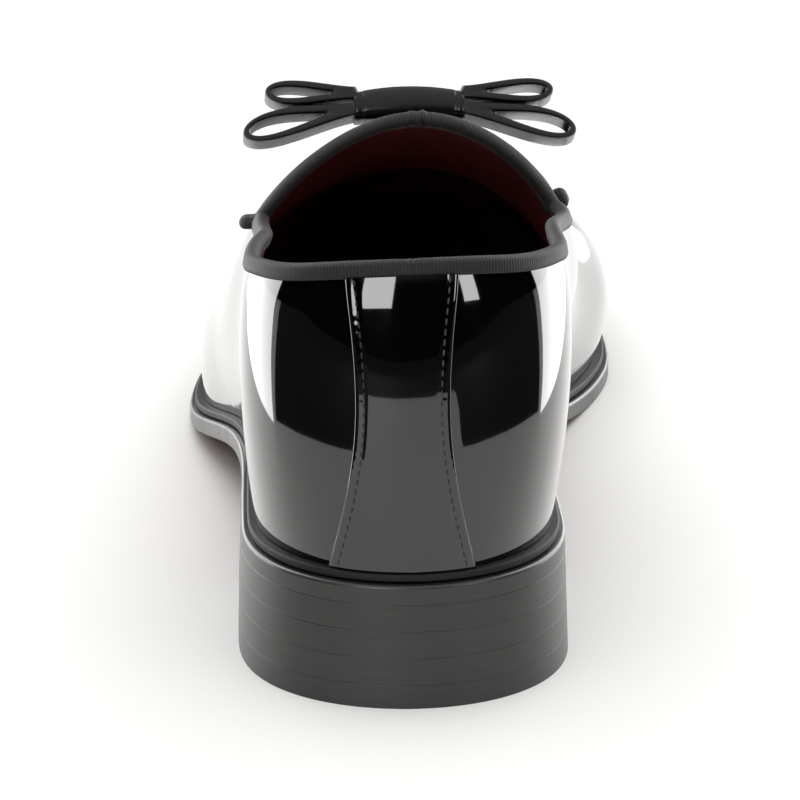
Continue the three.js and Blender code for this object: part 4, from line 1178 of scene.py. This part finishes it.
def loop_outline(loop, root, wall, steps):
    """Outline of a loop from behind: a teardrop whose belly is a sine times
    a power of the half sine, over a middle line that rises or droops."""
    angle = 2 * np.pi * (np.arange(steps) + 0.5) / steps
    way = (1 - np.cos(angle)) / 2
    belly = np.sin(angle) * np.abs(np.sin(angle / 2)) ** LOOP_FULLNESS / FULLEST_BELLY
    pinch = np.sign(np.sin(angle)) * (1 - way) ** 3 * np.minimum(1, way * PINCH_LENGTH)
    legs = RIBBON_THICKNESS if wall == 0 else RIBBON_THICKNESS / 4
    x = root + (loop["length"] - root - wall) * way
    middle = loop["lift"] + loop["rise"] * (x / loop["length"]) ** loop["bend"]
    return np.stack([x, middle + belly * (loop["height"] / 2 - wall) + pinch * legs], -1)


def signed_power(value, power):
    """Power of a value's size, with the value's own sign."""
    return np.sign(value) * np.abs(value) ** power


def loop_body(loop, side):
    """Ribbon round the teardrop: its section, a bar with rounded corners, is
    carried from the outer outline to the inner one and across the width."""
    steps = 150
    outer = loop_outline(loop, 0, 0, steps)
    inner = loop_outline(loop, loop["length"] * LOOP_ROOT, RIBBON_THICKNESS, steps)
    turn = np.linspace(0, 2 * np.pi, 29)[:-1]
    depth = 0.5 - 0.5 * signed_power(np.cos(turn), 0.5)
    half_width = RIBBON_WIDTH / 2
    width = np.sign(np.sin(turn)) * np.minimum(1.25 * np.abs(np.sin(turn)) ** 0.5, 1)
    width = np.sign(width) * (half_width - RIBBON_THICKNESS / 2 * (1 - np.abs(width)))
    across = half_width * signed_power(np.sin(turn), 0.16)
    flat = outer[:, None] + (inner - outer)[:, None] * depth[None, :, None]
    points = np.stack([
        side * (flat[..., 0] * (1 + ROOT_TUCK / loop["length"]) + KNOT_WIDTH / 2 - ROOT_TUCK),
        np.broadcast_to(across, flat.shape[:2]), flat[..., 1]], -1)
    edge = np.broadcast_to(smoothstep(np.abs(across), half_width - 0.5, half_width - 0.1), flat.shape[:2])
    return on_instep(points), [grid_faces(steps, len(turn), True, True)], edge


lower_loop = {
    "length": BOW_SPREAD / 2 - KNOT_WIDTH / 2 - JOINT_GAP, "height": LOWER_LOOP_HEIGHT,
    "lift": KNOT_HEIGHT * 0.27, "rise": -LOWER_LOOP_DROOP, "bend": 1.2}
upper_loop = {
    "length": lower_loop["length"] * 0.8, "height": UPPER_LOOP_HEIGHT, "lift": KNOT_HEIGHT * 0.76,
    "rise": KNOT_HEIGHT * 0.05, "bend": 1.0}
for level_name, loop in (("upper", upper_loop), ("lower", lower_loop)):
    for side_name, side in (("medial", 1), ("lateral", -1)):
        loop_points, loop_faces, loop_edge = loop_body(loop, side)
        make_piece(
            f"{level_name}_loop_{side_name}", loop_points, loop_faces, bow_leather, "bow_leather",
            [f"bow_{level_name}_loop_{side_name}"], sharp=1.0, fields={"cut_edge": loop_edge})

knot_steps, knot_section = 90, 72
knot_across = np.linspace(-1, 1, knot_steps)
knot_turn = np.linspace(0, 2 * np.pi, knot_section + 1)[:-1]
end_distance = KNOT_WIDTH / 2 * (1 - np.abs(knot_across))
knot_swell = 1 - KNOT_TAPER * knot_across ** 2 - KNOT_HEM * (1 - smoothstep(end_distance, 0, 0.5))
knot_swell -= KNOT_HEM * np.exp(-((end_distance - HEM_INSET) / 0.35) ** 2)
knot_y = knot_swell[:, None] * signed_power(np.cos(knot_turn), 0.5) * KNOT_DEPTH / 2
knot_sag = KNOT_HEIGHT * KNOT_SAG * knot_across ** 2
knot_top = signed_power(np.sin(knot_turn), 0.5)
knot_z = (knot_swell[:, None] * knot_top * 0.5 + 0.5) * KNOT_HEIGHT - knot_sag[:, None]
knot_x = np.broadcast_to((knot_across * KNOT_WIDTH / 2)[:, None], knot_y.shape)
knot_rings = np.stack([knot_x, knot_y, knot_z], -1)
knot_middles = [knot_rings[0].mean(0), knot_rings[-1].mean(0)]
knot_points = on_instep(np.concatenate([knot_rings.reshape(-1, 3), knot_middles]))
make_piece(
    "knot_band", knot_points, tube_faces(knot_steps, knot_section), bow_leather, "bow_leather", ["bow_knot"],
    sharp=1.0, fields={"cut_edge": np.zeros(len(knot_points))})


# Floor, light and camera
# A plain white floor under a sky that is dark at its foot. A panel each side
# of the shoe and two soft boxes behind the camera show in the gloss, and an
# overhead bank lights the rest.
STAGE_RADIUS = 6.0
FLAG_SPREAD = 100.0
FLAG_TONGUE = 0.5
FLAG_SIDE = 0.19
FLAG_MIDDLE = 0.56
FLAG_CENTRE = -0.13
FLAG_LIFT = 0.0004
FLAG_STEPS = 121
BACK_AIM = (0.0, -0.13, 0.09)
SKY_DARK = 0.30
SKY_FULL = 0.75
SKY_STRENGTH = 1.05


def stage_piece(name, points, faces, paint):
    """Mesh of a piece of the stage, with its points in metres."""
    mesh = bpy.data.meshes.new(name)
    mesh.from_pydata(np.asarray(points).tolist(), [], np.asarray(faces).tolist())
    mesh.materials.append(paint)
    piece = bpy.data.objects.new(name, mesh)
    bpy.context.collection.objects.link(piece)
    return piece


# Matt white paint on the floor.
floor_paint = new_material("white_floor")
floor_shader = add_node(floor_paint, "BsdfPrincipled", {"Base Color": linear("f4f3f1"), "Roughness": 0.7})
add_node(floor_paint, "OutputMaterial", {"Surface": floor_shader.outputs["BSDF"]})
stage_turn = np.linspace(0, 2 * np.pi, 97)[:-1]
stage_ring = np.stack([np.cos(stage_turn), np.sin(stage_turn), 0 * stage_turn], -1) * STAGE_RADIUS
floor = stage_piece("floor", stage_ring, [np.arange(len(stage_ring))], floor_paint)

# The backdrop is a pale wall round the floor that only the camera sees.
backdrop_paint = new_material("pale_backdrop")
backdrop_glow = add_node(backdrop_paint, "Emission", {"Color": linear("fbfbfa"), "Strength": 1.0})
add_node(backdrop_paint, "OutputMaterial", {"Surface": backdrop_glow.outputs["Emission"]})
wall_points = np.concatenate([stage_ring, stage_ring + [0, 0, STAGE_RADIUS]])
wall_faces = grid_faces(2, len(stage_ring), columns_closed=True)
backdrop = stage_piece("backdrop", wall_points, wall_faces, backdrop_paint)
backdrop.visible_glossy = backdrop.visible_diffuse = backdrop.visible_shadow = False

# A black flag lies on the floor on the camera's side of the shoe, seen by the
# gloss alone. It leaves a tongue of lit floor behind the heel.
flag_paint = new_material("black_flag")
flag_shader = add_node(flag_paint, "BsdfPrincipled", {"Base Color": linear("020202"), "Roughness": 0.9})
add_node(flag_paint, "OutputMaterial", {"Surface": flag_shader.outputs["BSDF"]})
flag_turn = np.radians(np.linspace(-FLAG_SPREAD, FLAG_SPREAD, FLAG_STEPS))
beside = smoothstep(np.abs(flag_turn), FLAG_TONGUE, FLAG_TONGUE + 0.1)
flag_near = FLAG_MIDDLE + (FLAG_SIDE - FLAG_MIDDLE) * beside
flag_way = np.stack([np.sin(flag_turn), -np.cos(flag_turn)], -1)
flag_flat = np.concatenate([flag_way * flag_near[:, None], flag_way * STAGE_RADIUS]) + [0, FLAG_CENTRE]
flag_points = np.column_stack([flag_flat, np.full(len(flag_flat), FLAG_LIFT)])
flag = stage_piece("flag", flag_points, grid_faces(2, len(flag_turn)), flag_paint)
flag.visible_camera = flag.visible_diffuse = flag.visible_shadow = False


def soft_box(name, place, size, radiance, aim, glossy):
    """Rectangular area light at a place in metres, turned to its aim, with
    the power that gives its face a radiance. Either the gloss alone sees it
    or everything but the gloss."""
    light = bpy.data.lights.new(name, "AREA")
    light.shape = "RECTANGLE"
    light.size, light.size_y = size
    light.energy = radiance * np.pi * size[0] * size[1]
    box = bpy.data.objects.new(name, light)
    box.location = place
    box.rotation_euler = (Vector(aim) - Vector(place)).to_track_quat("-Z", "Y").to_euler()
    box.visible_camera = False
    box.visible_glossy = glossy
    box.visible_diffuse = not glossy
    bpy.context.collection.objects.link(box)


for side in (-1, 1):
    soft_box("side_panel", (side * 0.18, 0.17, 0.17), (0.52, 0.34), 4.5, (0.0, 0.17, 0.17), True)
soft_box("back_box_left", (-0.5, -1.45, 0.46), (0.56, 0.54), 6.5, BACK_AIM, True)
soft_box("back_box_right", (1.0, -1.15, 0.46), (0.3, 0.54), 6.5, BACK_AIM, True)
soft_box("overhead_bank", (0.0, -0.2, 1.9), (2.2, 2.0), 1.5, (0.0, 0.0, 0.0), False)

# Sky: nothing low down, then white light that grows towards the zenith.
world = bpy.data.worlds.new("studio")
world.use_nodes = True
world.node_tree.nodes.clear()
way_up = add_node(world, "SeparateXYZ", {"Vector": add_node(world, "TexCoord").outputs["Generated"]})
sky_strength = add_node(world, "MapRange", {
    "Value": way_up.outputs["Z"], "From Min": SKY_DARK, "From Max": SKY_FULL, "To Max": SKY_STRENGTH},
    interpolation_type="SMOOTHSTEP")
sky_light = add_node(world, "Background", {
    "Color": linear("ffffff"), "Strength": sky_strength.outputs["Result"]})
add_node(world, "OutputWorld", {"Surface": sky_light.outputs["Background"]})
bpy.context.scene.world = world
bpy.context.scene.view_settings.view_transform = "Standard"

CAMERA_AZIMUTH = 0.76
CAMERA_ELEVATION = 16.1
CAMERA_DISTANCE = 1120.0
PHOTO_LENS_PIXELS = 3074.0
PHOTO_SPOT = (556.7, 631.0)
PHOTO_SHOE_MIDDLE = (546.0, 560.0)
PHOTO_SIZE = 800.0
ZOOM = 1.78
AIM_POINT = np.array([0.0, 35.0, 26.0])

azimuth, elevation = np.radians([CAMERA_AZIMUTH, CAMERA_ELEVATION])
rightward = np.array([np.cos(azimuth), np.sin(azimuth), 0.0])
level_way = np.array([-np.sin(azimuth), np.cos(azimuth), 0.0])
forward = level_way * np.cos(elevation) - np.array([0.0, 0.0, np.sin(elevation)])
downward = np.cross(forward, rightward)


def photo_ray(spot):
    """Direction from the camera through a pixel of the photo."""
    u, v = [(value - PHOTO_SIZE / 2) / PHOTO_LENS_PIXELS for value in spot]
    return forward + rightward * u + downward * v


camera_place = AIM_POINT - photo_ray(PHOTO_SPOT) * CAMERA_DISTANCE
camera_data = bpy.data.cameras.new("camera")
camera_data.lens = PHOTO_LENS_PIXELS * ZOOM / PHOTO_SIZE * camera_data.sensor_width
camera = bpy.data.objects.new("camera", camera_data)
camera.location = Vector((camera_place + SHIFT) / 1000)
camera.rotation_euler = Vector(photo_ray(PHOTO_SHOE_MIDDLE)).to_track_quat("-Z", "Y").to_euler()
bpy.context.collection.objects.link(camera)
bpy.context.scene.camera = camera
